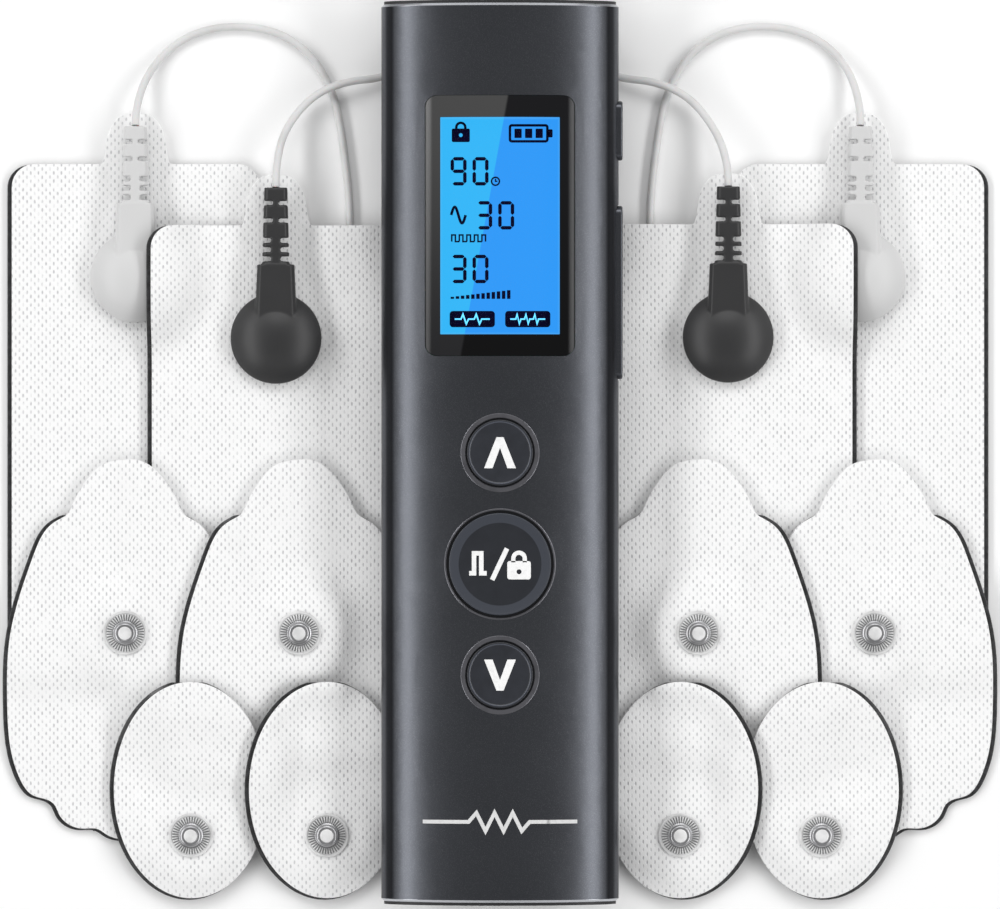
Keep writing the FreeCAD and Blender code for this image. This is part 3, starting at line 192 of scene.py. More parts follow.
class Graph:
    """The node tree of one material, built around a Principled shader."""

    def __init__(self, name: str) -> None:
        """Start a material with an empty tree.

        Args:
            name: The material's name.
        """
        self.material = bpy.data.materials.new(name)
        self.material.use_nodes = True
        self.tree = self.material.node_tree
        self.tree.nodes.clear()
        self.output = self.node("ShaderNodeOutputMaterial")
        self.shader = self.node("ShaderNodeBsdfPrincipled")
        self.tree.links.new(self.shader.outputs["BSDF"], self.output.inputs["Surface"])
        place = self.node("ShaderNodeTexCoord")
        scaled = self.node("ShaderNodeVectorMath", {"operation": "SCALE"},
                           {"Vector": place.outputs["Object"], "Scale": 1 / MM})
        self.place = scaled.outputs["Vector"]
        parts = self.node("ShaderNodeSeparateXYZ", {}, {"Vector": self.place})
        self.x, self.y, self.z = (Signal(self, parts.outputs[axis]) for axis in "XYZ")

    def node(self, kind: str, settings: Mapping[str, Any] | None = None,
             sockets: Mapping[str | int, Any] | None = None) -> bpy.types.Node:
        """Add a node, set it up and feed it.

        Args:
            kind: The node's type name.
            settings: Properties, which are set before the sockets.
            sockets: Values, Signals or output sockets by input name or number.

        Returns:
            The new node.
        """
        made = self.tree.nodes.new(kind)
        for key, value in (settings or {}).items():
            setattr(made, key, value)
        for key, value in (sockets or {}).items():
            self.feed(made.inputs[key], value)
        return made

    def feed(self, socket: bpy.types.NodeSocket, value: Any) -> None:
        """Link or set one input.

        Args:
            socket: The input.
            value: A Signal, an output socket or a plain value.
        """
        if isinstance(value, Signal):
            value = value.socket
        if isinstance(value, bpy.types.NodeSocket):
            self.tree.links.new(value, socket)
        else:
            socket.default_value = value

    def math(self, operation: str, *values: "Signal | float") -> Signal:
        """One Math node on its values."""
        made = self.node("ShaderNodeMath", {"operation": operation}, dict(enumerate(values)))
        return Signal(self, made.outputs[0])

    def noise(self, size: float, detail: float = 2.0, stretch: Point3 = (1.0, 1.0, 1.0)) -> Signal:
        """Cloudy noise.

        Args:
            size: Size of one cloud in millimetres.
            detail: How many finer layers are added.
            stretch: Scale of the place along each axis; a smaller number makes longer clouds.

        Returns:
            Noise from 0 to 1.
        """
        where = self.node("ShaderNodeVectorMath", {"operation": "MULTIPLY"}, {0: self.place, 1: stretch})
        made = self.node("ShaderNodeTexNoise", {},
                         {"Vector": where.outputs[0], "Scale": 1 / size, "Detail": detail})
        return Signal(self, made.outputs[0])

    def cells(self, size: float) -> Signal:
        """Distance to the middle of the nearest grain, for grains of about one size in millimetres."""
        made = self.node("ShaderNodeTexVoronoi", {}, {"Vector": self.place, "Scale": 1 / size})
        return Signal(self, made.outputs["Distance"])

    def blend(self, share: "Signal | float", first: Any, second: Any) -> bpy.types.NodeSocket:
        """Mix two colours.

        Args:
            share: 0 for the first colour, 1 for the second.
            first: A colour or a colour socket.
            second: A colour or a colour socket.

        Returns:
            The mixed colour's socket.
        """
        made = self.node("ShaderNodeMix", {"data_type": "RGBA"}, {0: share, 6: first, 7: second})
        return made.outputs[2]

    def relief(self, height: Signal, depth: float,
               under: bpy.types.NodeSocket | None = None) -> bpy.types.NodeSocket:
        """Bump from a height.

        Args:
            height: Height from 0 to 1.
            depth: What a height of 1 stands for, in millimetres.
            under: A coarser bump that this one lies on.

        Returns:
            The bent normal's socket.
        """
        sockets = {"Height": height, "Distance": depth * MM, "Strength": 1.0}
        if under is not None:
            sockets["Normal"] = under
        return self.node("ShaderNodeBump", {}, sockets).outputs["Normal"]

    def dress(self, **values: Any) -> bpy.types.Material:
        """Feed the Principled shader and hand over the material.

        Args:
            **values: Sockets by name, with underscores for spaces.

        Returns:
            The finished material.
        """
        for key, value in values.items():
            self.feed(self.shader.inputs[key.replace("_", " ").title().replace("Ior", "IOR")], value)
        return self.material


@dataclass(frozen=True)
class BlastedAluminium:
    """Dark anodised extrusion: bead-blasted skin, a darker band of painted shade near each edge and bright cut
    chamfers.
    """

    skin: Colour = tone("53555A")
    cut: Colour = tone("B9BBC0")
    # Painted shade: colour of the darker band along each long side of the tube.
    draw_line: Colour = tone("1C1C1F")
    draw_inner: float = 17.7
    draw_outer: float = 19.0
    draw_inner_blur: float = 0.35
    draw_outer_blur: float = 0.3
    grain: float = 0.16
    grain_depth: float = 0.006
    tube_end: float = 74.5
    chamfer: float = 0.42

    def make(self) -> bpy.types.Material:
        """Build the material.

        Returns:
            The material.
        """
        g = Graph("blasted_aluminium")
        grain = g.noise(self.grain, 3.0)
        speck = g.cells(self.grain * 0.8).ramp(0.32, 0.05)
        clouds = g.noise(14.0, 2.0)
        cut_from = self.tube_end - self.chamfer
        bright = abs(g.y).ramp(cut_from - 0.03, cut_from + 0.02)
        body = g.blend(clouds, self.skin, shade(self.skin, 1.12))
        body = g.blend(speck * 0.35, body, self.cut)
        across = abs(g.x)
        # Painted shade band near each side edge, blended into the skin colour.
        edge_shade_mask = (across.ramp(self.draw_inner - self.draw_inner_blur, self.draw_inner + self.draw_inner_blur) *
                 across.ramp(self.draw_outer + self.draw_outer_blur, self.draw_outer - self.draw_outer_blur))
        body = g.blend(edge_shade_mask * 0.8, body, self.draw_line)
        colour = g.blend(bright, body, self.cut)
        rough = (0.27 + clouds * 0.05 + grain * 0.06) * (1 - bright) + bright * 0.16
        height = (grain + speck * 0.4) * (1 - bright)
        return g.dress(base_color=colour, metallic=1.0, roughness=rough,
                       normal=g.relief(height, self.grain_depth))


@dataclass(frozen=True)
class TurnedMetal:
    """Turned, coined or plated metal with a fine grain of tool marks and a faint stain."""

    name: str
    colour: Colour
    rough: float = 0.25
    mark: float = 0.09
    depth: float = 0.002
    metallic: float = 1.0

    def make(self) -> bpy.types.Material:
        """Build the material.

        Returns:
            The material.
        """
        g = Graph(self.name)
        grain = g.noise(self.mark, 4.0)
        stain = g.noise(3.0, 3.0)
        colour = g.blend(stain.ramp(0.35, 0.75), self.colour, shade(self.colour, 0.72))
        rough = self.rough + grain * 0.12 + stain * 0.05
        return g.dress(base_color=colour, metallic=self.metallic, roughness=rough,
                       normal=g.relief(grain, self.depth))


@dataclass(frozen=True)
class Moulding:
    """Injection-moulded or overmoulded plastic with a fine spark-eroded texture."""

    name: str
    colour: Colour
    rough: float = 0.5
    grain: float = 0.12
    depth: float = 0.004
    tint: float = 0.12

    def make(self) -> bpy.types.Material:
        """Build the material.

        Returns:
            The material.
        """
        g = Graph(self.name)
        grain = g.noise(self.grain, 3.0)
        broad = g.noise(6.0, 2.0)
        lighter = tuple(min(1.0, c * (1 + self.tint) + 0.004) for c in self.colour[:3]) + (1.0,)
        colour = g.blend(broad * 0.6 + grain * 0.4, self.colour, lighter)
        rough = self.rough + grain * 0.1 + broad * 0.05
        return g.dress(base_color=colour, roughness=rough, normal=g.relief(grain, self.depth))


@dataclass(frozen=True)
class KeyCap:
    """Hard satin cap of a round key: darker face and a lighter ring; on the arrow keys the ring is a fine
    painted highlight line.
    """

    name: str
    centre_y: float
    ring_inner: float
    ring_outer: float
    ring: Colour
    face: Colour = tone("13161D")
    skirt: Colour = tone("16181D")

    def make(self) -> bpy.types.Material:
        """Build the material.

        Returns:
            The material.
        """
        g = Graph(self.name)
        up = g.y - self.centre_y
        out = (g.x * g.x + up * up) ** 0.5
        # The ring: a fine painted highlight line on the arrow keys, a wider lighter ring on the lock key.
        ring = out.ramp(self.ring_inner - 0.04, self.ring_inner + 0.04) * out.ramp(
            self.ring_outer + 0.04, self.ring_outer - 0.04)
        grain = g.noise(0.1, 3.0)
        wear = g.noise(2.5, 3.0)
        base = g.blend(out.ramp(self.ring_outer, self.ring_outer + 0.1), self.face, self.skirt)
        colour = g.blend(ring, g.blend(wear * 0.25, base, self.ring), self.ring)
        return g.dress(base_color=colour, roughness=0.36 + grain * 0.08 + wear * 0.05, coat_weight=0.15,
                       coat_roughness=0.2, normal=g.relief(grain, 0.002))


@dataclass(frozen=True)
class Nonwoven:
    """White nonwoven cloth of the pads, embossed with staggered rows of short pits, with painted shade in the
    pits.
    """

    colour: Colour = tone("F8F8F8")
    # Grey of the painted shade in the pits.
    pit: Colour = tone("B9B9BC")
    column: float = 0.64
    row: float = 1.38
    pit_width: float = 0.30
    pit_length: float = 0.66
    depth: float = 0.07

    def make(self) -> bpy.types.Material:
        """Build the material.

        Returns:
            The material.
        """
        g = Graph("nonwoven")
        wander = g.noise(2.2, 2.0)
        across = (g.x + wander * 0.16) / self.column
        lane = across.floor()
        odd = g.math("PINGPONG", lane, 1.0)
        along = (g.y + wander * 0.2) / self.row + odd * 0.5
        dx = (across.fract() - 0.5) * (2 * self.column / self.pit_width)
        dy = (along.fract() - 0.5) * (2 * self.row / self.pit_length)
        pit = (dx * dx + dy * dy).ramp(1.5, 0.25)
        facing = g.node("ShaderNodeSeparateXYZ", {}, {"Vector": g.node("ShaderNodeTexCoord").outputs["Normal"]})
        upward = Signal(g, facing.outputs["Z"]).ramp(0.35, 0.75)
        fibre = g.noise(0.11, 4.0, (1.0, 0.35, 1.0))
        uneven = g.noise(1.1, 2.0).ramp(0.3, 0.62)
        # The pits are pressed in by the bump and also darkened in the colour as painted shade.
        press = pit * (0.25 + uneven * 0.75) * upward
        blotch = g.noise(9.0, 2.0)
        base = g.blend(blotch * 0.35 + fibre * 0.3, self.colour, shade(self.colour, 0.93))
        colour = g.blend(press * 0.75, base, self.pit)
        soft = g.relief(fibre, 0.02)
        return g.dress(base_color=colour, roughness=0.86 + fibre * 0.1, sheen_weight=0.15,
                       sheen_roughness=0.5, specular_ior_level=0.25,
                       normal=g.relief(1 - press, self.depth, soft))


@dataclass(frozen=True)
class CarbonGel:
    """Black carbon film whose clear gel edge shines a little."""

    colour: Colour = tone("151516")
    gleam: Colour = tone("2E2E31")

    def make(self) -> bpy.types.Material:
        """Build the material.

        Returns:
            The material.
        """
        g = Graph("carbon_gel")
        ripple = g.noise(0.9, 3.0)
        fine = g.noise(0.15, 2.0)
        colour = g.blend(ripple.ramp(0.4, 0.7), self.colour, self.gleam)
        return g.dress(base_color=colour, roughness=0.28 + ripple * 0.2, coat_weight=0.4, coat_roughness=0.1,
                       normal=g.relief(ripple + fine * 0.3, 0.05))


@dataclass(frozen=True)
class LeadJacket:
    """Soft satin jacket of the wires, with faint extrusion ripple and handling marks."""

    colour: Colour = tone("D9D9D9")
    handled: Colour = tone("CDCDCC")

    def make(self) -> bpy.types.Material:
        """Build the material.

        Returns:
            The material.
        """
        g = Graph("lead_jacket")
        ripple = g.noise(0.5, 3.0)
        marks = g.noise(5.0, 4.0)
        colour = g.blend(marks.ramp(0.45, 0.8), self.colour, self.handled)
        return g.dress(base_color=colour, roughness=0.38 + marks * 0.15, subsurface_weight=0.08,
                       subsurface_scale=0.0008, normal=g.relief(ripple, 0.012))


@dataclass(frozen=True)
class WindowGlass:
    """Clear window printed behind with a black border, with painted reflections: a slanting lighter zone, a
    grey band along each long edge and a border that lightens towards the head.

    Each pair of tones is the one at the foot and the one at the head of the window.
    """

    centre_y: float = 37.6
    view_width: float = 19.8
    view_length: float = 36.0
    view_corner: float = 0.12
    light_slope: float = 0.182
    light_foot: float = -2.6
    ground_from: float = 11.1
    ground_width: float = 0.5
    fade_foot: float = -24.0
    fade_head: float = 22.0
    clear: Colour = tone("1A2A38")
    border: tuple[Colour, Colour] = (tone("010102"), tone("101013"))
    lit_border: tuple[Colour, Colour] = (tone("202022"), tone("454545"))
    # Tones of the painted reflection band along each long edge.
    ground_foot: Colour = tone("1C1C1E")
    ground_head: tuple[Colour, Colour] = (tone("2C2C2E"), tone("606060"))

    def make(self) -> bpy.types.Material:
        """Build the material.

        Returns:
            The material.
        """
        g = Graph("window_glass")
        up = g.y - self.centre_y
        over_x = (abs(g.x) - (self.view_width / 2 - self.view_corner)).at_least(0.0)
        over_y = (abs(up) - (self.view_length / 2 - self.view_corner)).at_least(0.0)
        over = (over_x * over_x + over_y * over_y) ** 0.5
        outside = over.ramp(self.view_corner - 0.05, self.view_corner + 0.05)
        lit = (g.x - up * self.light_slope - self.light_foot).ramp(0.25, -0.25)
        # Painted reflection: the border lightens from the foot towards the head.
        fade = up.ramp(self.fade_foot, self.fade_head)
        ink = g.blend(lit, g.blend(fade, *self.border), g.blend(fade, *self.lit_border))
        # Painted reflection: a grey band along each long edge of the glass, not a ground edge.
        ground = abs(g.x).ramp(self.ground_from, self.ground_from + self.ground_width)
        ink = g.blend(ground * 0.85, ink, g.blend(fade, self.ground_foot, g.blend(lit, *self.ground_head)))
        smear = g.noise(7.0, 3.0)
        return g.dress(base_color=g.blend(outside, self.clear, ink), alpha=0.03 + outside * 0.97,
                       roughness=0.06 + smear * 0.05 + ground * 0.2, specular_ior_level=0.32,
                       normal=g.relief(smear, 0.003))


@dataclass(frozen=True)
class LitPanel:
    """Backlit liquid-crystal panel in two blues that meet on a slanting line; the lighter blue on the left is a
    painted reflection.
    """

    centre_y: float = 37.6
    # The lighter left blue is a painted reflection.
    left: Colour = tone("35BDFF")
    right: Colour = tone("2F9EFF")
    edge: Colour = tone("6CC6FF")
    mesh: Colour = tone("1F86E8")
    unlit: Colour = tone("05070C")
    light_slope: float = 0.182
    light_foot: float = -2.6
    half_width: float = 9.95
    half_length: float = 18.0
    edge_width: float = 0.5

    def make(self) -> bpy.types.Material:
        """Build the material.

        Returns:
            The material.
        """
        g = Graph("lit_panel")
        up = g.y - self.centre_y
        lit = (g.x - up * self.light_slope - self.light_foot).ramp(0.06, -0.06)
        rim = abs(g.x).ramp(self.half_width - self.edge_width, self.half_width).at_least(
            abs(up).ramp(self.half_length - self.edge_width, self.half_length))
        grid = g.noise(0.35, 2.0)
        # Painted reflection: the lighter blue left of the slanting line.
        blue = g.blend(lit, self.right, self.left)
        blue = g.blend(rim * 0.35, blue, self.edge)
        blue = g.blend(grid * 0.08, blue, self.mesh)
        return g.dress(base_color=self.unlit, emission_color=blue, emission_strength=1.0, roughness=0.4,
                       specular_ior_level=0.2)


@dataclass(frozen=True)
class Inlay:
    """Printed or lit ink of one colour, with the slight unevenness of a screen print."""

    name: str
    colour: Colour
    glow: float = 0.0
    rough: float = 0.45
    gloss: float = 0.3

    def make(self) -> bpy.types.Material:
        """Build the material.

        Returns:
            The material.
        """
        g = Graph(self.name)
        mottle = g.noise(0.6, 3.0)
        ink = g.blend(mottle.ramp(0.4, 0.75), self.colour, shade(self.colour, 0.9))
        if self.glow:
            g.dress(emission_color=ink, emission_strength=self.glow)
        return g.dress(base_color=ink, roughness=self.rough + mottle * 0.1, specular_ior_level=self.gloss)


@dataclass(frozen=True)
class CircuitBoard:
    """Green solder mask with copper tracks showing through and plated vias."""

    mask: Colour = tone("123F25")
    track: Colour = tone("1E6A3C")
    plate: Colour = tone("C9A24A")

    def make(self) -> bpy.types.Material:
        """Build the material.

        Returns:
            The material.
        """
        g = Graph("circuit_board")
        wander = g.noise(4.5, 1.0)
        lines = g.math("PINGPONG", g.x + wander * 6.0, 0.45).ramp(0.14, 0.2)
        dots = g.cells(2.6).ramp(0.17, 0.13)
        colour = g.blend(dots, g.blend(lines * 0.8, self.mask, self.track), self.plate)
        return g.dress(base_color=colour, roughness=0.34 - dots * 0.1, metallic=dots,
                       normal=g.relief(lines + dots, 0.03))


@dataclass(frozen=True)
class Winding:
    """Enamelled copper wire laid in close turns."""

    wire: float = 0.22
    shadow: Colour = tone("5A2410")
    copper: Colour = tone("C06A32")

    def make(self) -> bpy.types.Material:
        """Build the material.

        Returns:
            The material.
        """
        g = Graph("copper_winding")
        turns = g.math("PINGPONG", g.y, self.wire / 2) / (self.wire / 2)
        colour = g.blend(turns.ramp(0.0, 0.9), self.shadow, self.copper)
        return g.dress(base_color=colour, metallic=0.85, roughness=0.3 + g.noise(1.0) * 0.12,
                       normal=g.relief(turns, 0.08))


@dataclass(frozen=True)
class FoilPouch:
    """Crinkled foil of a pouch cell."""

    colour: Colour = tone("B4B8BE")
    fold: Colour = tone("8F939A")

    def make(self) -> bpy.types.Material:
        """Build the material.

        Returns:
            The material.
        """
        g = Graph("foil_pouch")
        crinkle = g.noise(2.4, 4.0)
        colour = g.blend(crinkle, self.colour, self.fold)
        return g.dress(base_color=colour, metallic=0.9, roughness=0.26 + crinkle * 0.14,
                       normal=g.relief(crinkle, 0.12))


# ---- mesh work ----
def arc_points(radius: float, start: float, end: float, steps: int,
               centre: Point2 = (0.0, 0.0)) -> list[Point2]:
    """Points on an arc, both ends included.

    Args:
        radius: The arc's radius.
        start: First angle in degrees.
        end: Last angle in degrees.
        steps: How many parts the arc is divided into.
        centre: The arc's centre.

    Returns:
        The points in order.
    """
    angles = (math.radians(start + (end - start) * k / steps) for k in range(steps + 1))
    return [(centre[0] + radius * math.cos(a), centre[1] + radius * math.sin(a)) for a in angles]


def circle(radius: float, steps: int, centre: Point2 = (0.0, 0.0)) -> list[Point2]:
    """Points round a circle, without repeating the first."""
    return arc_points(radius, 0, 360, steps, centre)[:-1]


def rounded_box(width: float, height: float, corner: float, steps: int = 5,
                centre: Point2 = (0.0, 0.0)) -> list[Point2]:
    """Outline of a rectangle with round corners.

    Args:
        width: Its size across.
        height: Its size along.
        corner: Radius of its corners.
        steps: How many parts each corner is divided into.
        centre: Its middle.

    Returns:
        The outline, anticlockwise.
    """
    x, y = width / 2 - corner, height / 2 - corner
    corners = ((x, y, 0), (-x, y, 90), (-x, -y, 180), (x, -y, 270))
    return [p for cx, cy, a in corners
            for p in arc_points(corner, a, a + 90, steps, (centre[0] + cx, centre[1] + cy))]


class Shaper:
    """Collects the corners and faces of one mesh, in millimetres."""

    def __init__(self) -> None:
        """Start empty."""
        self.corners: list[Point3] = []
        self.faces: list[tuple[int, ...]] = []

    def ring(self, points: Iterable[Sequence[float]]) -> list[int]:
        """Add corners.

        Args:
            points: Their places.

        Returns:
            Their numbers.
        """
        first = len(self.corners)
        self.corners.extend(tuple(p) for p in points)
        return list(range(first, len(self.corners)))

    def bridge(self, lower: Sequence[int], upper: Sequence[int], closed: bool = True) -> None:
        """Join two rings of equal length with four-sided faces.

        Args:
            lower: The first ring.
            upper: The second ring.
            closed: Whether the rings run all the way round.
        """
        count = len(lower)
        for k in range(count if closed else count - 1):
            m = (k + 1) % count
            self.faces.append((lower[k], lower[m], upper[m], upper[k]))

    def cap(self, ring: Sequence[int], flip: bool = False) -> None:
        """Close a ring with one face."""
        self.faces.append(tuple(reversed(ring)) if flip else tuple(ring))

    def loft(self, rings: Sequence[Sequence[int]], foot: bool = False, head: bool = False) -> None:
        """Join rings of equal length one after the other.

        Args:
            rings: The rings in order.
            foot: Whether a face closes the first ring.
            head: Whether a face closes the last ring.
        """
        for lower, upper in zip(rings, rings[1:]):
            self.bridge(lower, upper)
        if foot:
            self.cap(rings[0], flip=True)
        if head:
            self.cap(rings[-1])

    def turned(self, profile: Sequence[Point2], steps: int, centre: Point2) -> list[list[int]]:
        """Level rings of a turned piece, not joined yet, for a profile of radius and level pairs."""
        return [self.ring((x, y, z) for x, y in circle(radius, steps, centre)) for radius, z in profile]

    def revolve(self, profile: Sequence[Point2], centre: Point2 = (0.0, 0.0), steps: int = 96) -> None:
        """Turn a profile about an upright axis.

        Args:
            profile: Pairs of radius and level in order; a radius of nought closes the piece.
            centre: The axis' x and y.
            steps: How many sides the turned piece has.
        """
        previous: list[int] | None = None
        for radius, z in profile:
            if radius < 1e-6:
                tip = self.ring([(centre[0], centre[1], z)])[0]
                if previous is not None:
                    for k, corner in enumerate(previous):
                        self.faces.append((corner, previous[(k + 1) % len(previous)], tip))
                previous = [tip] * steps
                continue
            ring = self.ring((x, y, z) for x, y in circle(radius, steps, centre))
            if previous is not None:
                if previous[0] == previous[1]:
                    for k, corner in enumerate(ring):
                        self.faces.append((previous[0], ring[(k + 1) % steps], corner))
                else:
                    self.bridge(previous, ring)
            previous = ring

    def plate(self, outline: Sequence[Point2], low: float, high: float,
              holes: Sequence[Sequence[Point2]] = ()) -> None:
        """Flat plate between two levels, with holes through it.

        Args:
            outline: The plate's outline.
            low: Level of its underside.
            high: Level of its top.
            holes: Outlines of its holes.
        """
        loops = [list(outline), *[list(h) for h in holes]]
        top = [self.ring((x, y, high) for x, y in loop) for loop in loops]
        bottom = [self.ring((x, y, low) for x, y in loop) for loop in loops]
        flat_top, flat_bottom = sum(top, []), sum(bottom, [])
        for a, b, c in tessellate_polygon([[Vector((x, y, 0)) for x, y in loop] for loop in loops]):
            self.faces.append((flat_top[a], flat_top[b], flat_top[c]))
            self.faces.append((flat_bottom[c], flat_bottom[b], flat_bottom[a]))
        for upper, lower in zip(top, bottom):
            self.bridge(lower, upper)

    def stroke(self, points: Sequence[Point2], width: float, low: float, high: float,
               closed: bool = False) -> None:
        """Line of even width with mitred corners, as a plate.

        Args:
            points: The line's corners.
            width: Its width.
            low: Level of its underside.
            high: Level of its top.
            closed: Whether the last point joins the first.
        """
        count = len(points)
        left, right = [], []
        for k, (x, y) in enumerate(points):
            before = points[k - 1] if closed or k else None
            after = points[(k + 1) % count] if closed or k < count - 1 else None
            ways = []
            if before is not None:
                ways.append(Vector((x - before[0], y - before[1])).normalized())
            if after is not None:
                ways.append(Vector((after[0] - x, after[1] - y)).normalized())
            mean = sum(ways, Vector((0.0, 0.0))).normalized()
            reach = width / 2 / max(MITRE_LIMIT, mean.dot(ways[0]))
            left.append((x - mean.y * reach, y + mean.x * reach))
            right.append((x + mean.y * reach, y - mean.x * reach))
        if closed:
            self.plate(right, low, high, [left])
        else:
            self.plate(right + left[::-1], low, high)

    def tube(self, path: Sequence[Vector], radius: float, sides: int) -> None:
        """Round tube with flat ends along a path.

        Args:
            path: Points of the centreline, close together.
            radius: The tube's radius.
            sides: How many sides it has.
        """
        last = len(path) - 1
        along = [(path[min(k + 1, last)] - path[max(k - 1, 0)]).normalized() for k in range(len(path))]
        across = along[0].orthogonal().normalized()
        rings: list[list[int]] = []
        for place, way in zip(path, along):
            across = (across - way * across.dot(way)).normalized()
            other = way.cross(across)
            rings.append(self.ring(
                tuple(place + (across * math.cos(a) + other * math.sin(a)) * radius)
                for a in (2 * math.pi * k / sides for k in range(sides))))
        self.loft(rings, foot=True, head=True)

    def build(self, name: str, material: bpy.types.Material, sharp: float = 35.0) -> bpy.types.Object:
        """Write the mesh in metres and put it in the scene.

        Args:
            name: The piece's name.
            material: Its finish.
            sharp: Edges that turn by more than this many degrees stay crisp.

        Returns:
            The new object.
        """
        mesh = bpy.data.meshes.new(name)
        mesh.from_pydata([(x * MM, y * MM, z * MM) for x, y, z in self.corners], [], self.faces)
        return place_mesh(mesh, name, material, sharp)


def place_mesh(mesh: bpy.types.Mesh, name: str, material: bpy.types.Material,
               sharp: float) -> bpy.types.Object:
    """Tidy a mesh's normals and shading and put it in the scene.

    Args:
        mesh: The mesh, in metres.
        name: The piece's name.
        material: Its finish.
        sharp: Edges that turn by more than this many degrees stay crisp.

    Returns:
        The new object.
    """
    work = bmesh.new()
    work.from_mesh(mesh)
    bmesh.ops.remove_doubles(work, verts=work.verts, dist=WELD)
    bmesh.ops.recalc_face_normals(work, faces=work.faces)
    work.to_mesh(mesh)
    work.free()
    mesh.shade_smooth()
    mesh.set_sharp_from_angle(angle=math.radians(sharp))
    mesh.materials.clear()
    mesh.materials.append(material)
    made = bpy.data.objects.new(name, mesh)
    bpy.context.scene.collection.objects.link(made)
    return made


def keep(piece: bpy.types.Object, body: str, nodes: Sequence[str] = ()) -> bpy.types.Object:
    """Fix a piece to its body, and let it stand for its CAD nodes.

    Args:
        piece: The piece.
        body: The body that it moves with; empty leaves the piece unattached.
        nodes: CAD nodes that it replaces.

    Returns:
        The piece.
    """
    if body:
        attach(piece, body)
    if nodes:
        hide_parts(*nodes)
    log.info("%s: %d faces", piece.name, len(piece.data.polygons))
    return piece


def dress_node(node: str, material: bpy.types.Material, sharp: float = 30.0) -> None:
    """Give a CAD node its finish.

    Args:
        node: The CAD node's name.
        material: Its finish.
        sharp: Edges that turn by more than this many degrees stay crisp.
    """
    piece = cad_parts[node]
    piece.data.materials.clear()
    piece.data.materials.append(material)
    piece.data.shade_smooth()
    piece.data.set_sharp_from_angle(angle=math.radians(sharp))
    log.info("%s: dressed", node)


def route_line(name: str, points: Sequence[Point3]) -> list[Vector]:
    """Centreline of a cord: a smooth line with the route's points as its control points.

    Args:
        name: Name of the line while it is made.
        points: The route, in metres.

    Returns:
        The line's points, in metres.
    """
    curve = bpy.data.curves.new(name, "CURVE")
    curve.dimensions = "3D"
    spline = curve.splines.new("NURBS")
    spline.points.add(len(points) - 1)
    for corner, place in zip(spline.points, points):
        corner.co = (*place, 1.0)
    spline.order_u = 3
    spline.use_endpoint_u = True
    spline.resolution_u = 8
    carrier = bpy.data.objects.new(name, curve)
    mesh = bpy.data.meshes.new_from_object(carrier)
    line = [v.co.copy() for v in mesh.vertices]
    bpy.data.meshes.remove(mesh)
    bpy.data.objects.remove(carrier)
    bpy.data.curves.remove(curve)
    return line


@dataclass
class Solid:
    """One separate solid of a CAD node: its corners in millimetres and its faces."""

    corners: list[Vector]
    faces: list[tuple[int, ...]]

    @property
    def low(self) -> Vector:
        """Lowest corner of its box."""
        return Vector(min(c[k] for c in self.corners) for k in range(3))

    @property
    def high(self) -> Vector:
        """Highest corner of its box."""
        return Vector(max(c[k] for c in self.corners) for k in range(3))

    @property
    def centre(self) -> Vector:
        """Middle of its box."""
        return (self.low + self.high) / 2

    def outline(self, step: float) -> list[Point2]:
        """Outline of its top face, with points at even steps.

        Args:
            step: Distance between points in millimetres.

        Returns:
            The outline, anticlockwise.
        """
        return even_loop([self.corners[k].xy for k in longest_rim(self.faces, self.corners)], step)


def rim_chains(faces: Sequence[tuple[int, ...]], corners: Sequence[Vector]) -> list[list[int]]:
    """Runs of edges round the upward faces; slivers may cut the rim into several.

    Args:
        faces: All faces of a solid.
        corners: Its corners.

    Returns:
        The runs, each a list of corner numbers.
    """
    sides = set()
    for face in faces:
        a, b, c = (corners[k] for k in face[:3])
        if (b - a).cross(c - a).normalized().z > 0.05:
            sides.update(zip(face, face[1:] + face[:1]))
    follows: dict[int, list[int]] = {}
    for start, end in sorted(sides):
        if (end, start) not in sides:
            follows.setdefault(start, []).append(end)
    led_to = {end for ends in follows.values() for end in ends}
    chains = []
    for start in [*(k for k in follows if k not in led_to), *follows]:
        while follows.get(start):
            chain = [start]
            while follows.get(chain[-1]):
                chain.append(follows[chain[-1]].pop())
            chains.append(chain)
    return chains


def longest_rim(faces: Sequence[tuple[int, ...]], corners: Sequence[Vector]) -> list[int]:
    """Outer rim of the upward faces, its runs joined end to end where they come nearest.

    Args:
        faces: All faces of a solid.
        corners: Its corners.

    Returns:
        The rim as corner numbers, not repeated at its end.
    """
    def reach(chain: list[int]) -> float:
        """Length of a run."""
        return sum((corners[b].xy - corners[a].xy).length for a, b in zip(chain, chain[1:]))

    chains = sorted(rim_chains(faces, corners), key=reach, reverse=True)
    rim = chains.pop(0)
    open_chains = [c for c in chains if c[0] != c[-1] and reach(c) > 0.05]
    while open_chains and rim[0] != rim[-1]:
        here = corners[rim[-1]].xy
        nearest = min(open_chains, key=lambda c: (corners[c[0]].xy - here).length)
        if (corners[nearest[0]].xy - here).length > (corners[rim[0]].xy - here).length:
            break
        open_chains.remove(nearest)
        rim += nearest
    return rim[:-1] if rim[0] == rim[-1] else rim


def even_loop(loop: Sequence[Vector], step: float) -> list[Point2]:
    """Points at even steps round a closed loop.

    Args:
        loop: The loop's corners.
        step: Distance between points.

    Returns:
        The new points.
    """
    ends = [*loop[1:], loop[0]]
    runs = [max(1e-9, (b - a).length) for a, b in zip(loop, ends)]
    total = sum(runs)
    count = max(12, round(total / step))
    points, k, done = [], 0, 0.0
    for n in range(count):
        target = total * n / count
        while done + runs[k] < target:
            done += runs[k]
            k += 1
        share = (target - done) / runs[k]
        points.append(tuple(loop[k].lerp(ends[k], share)))
    return points


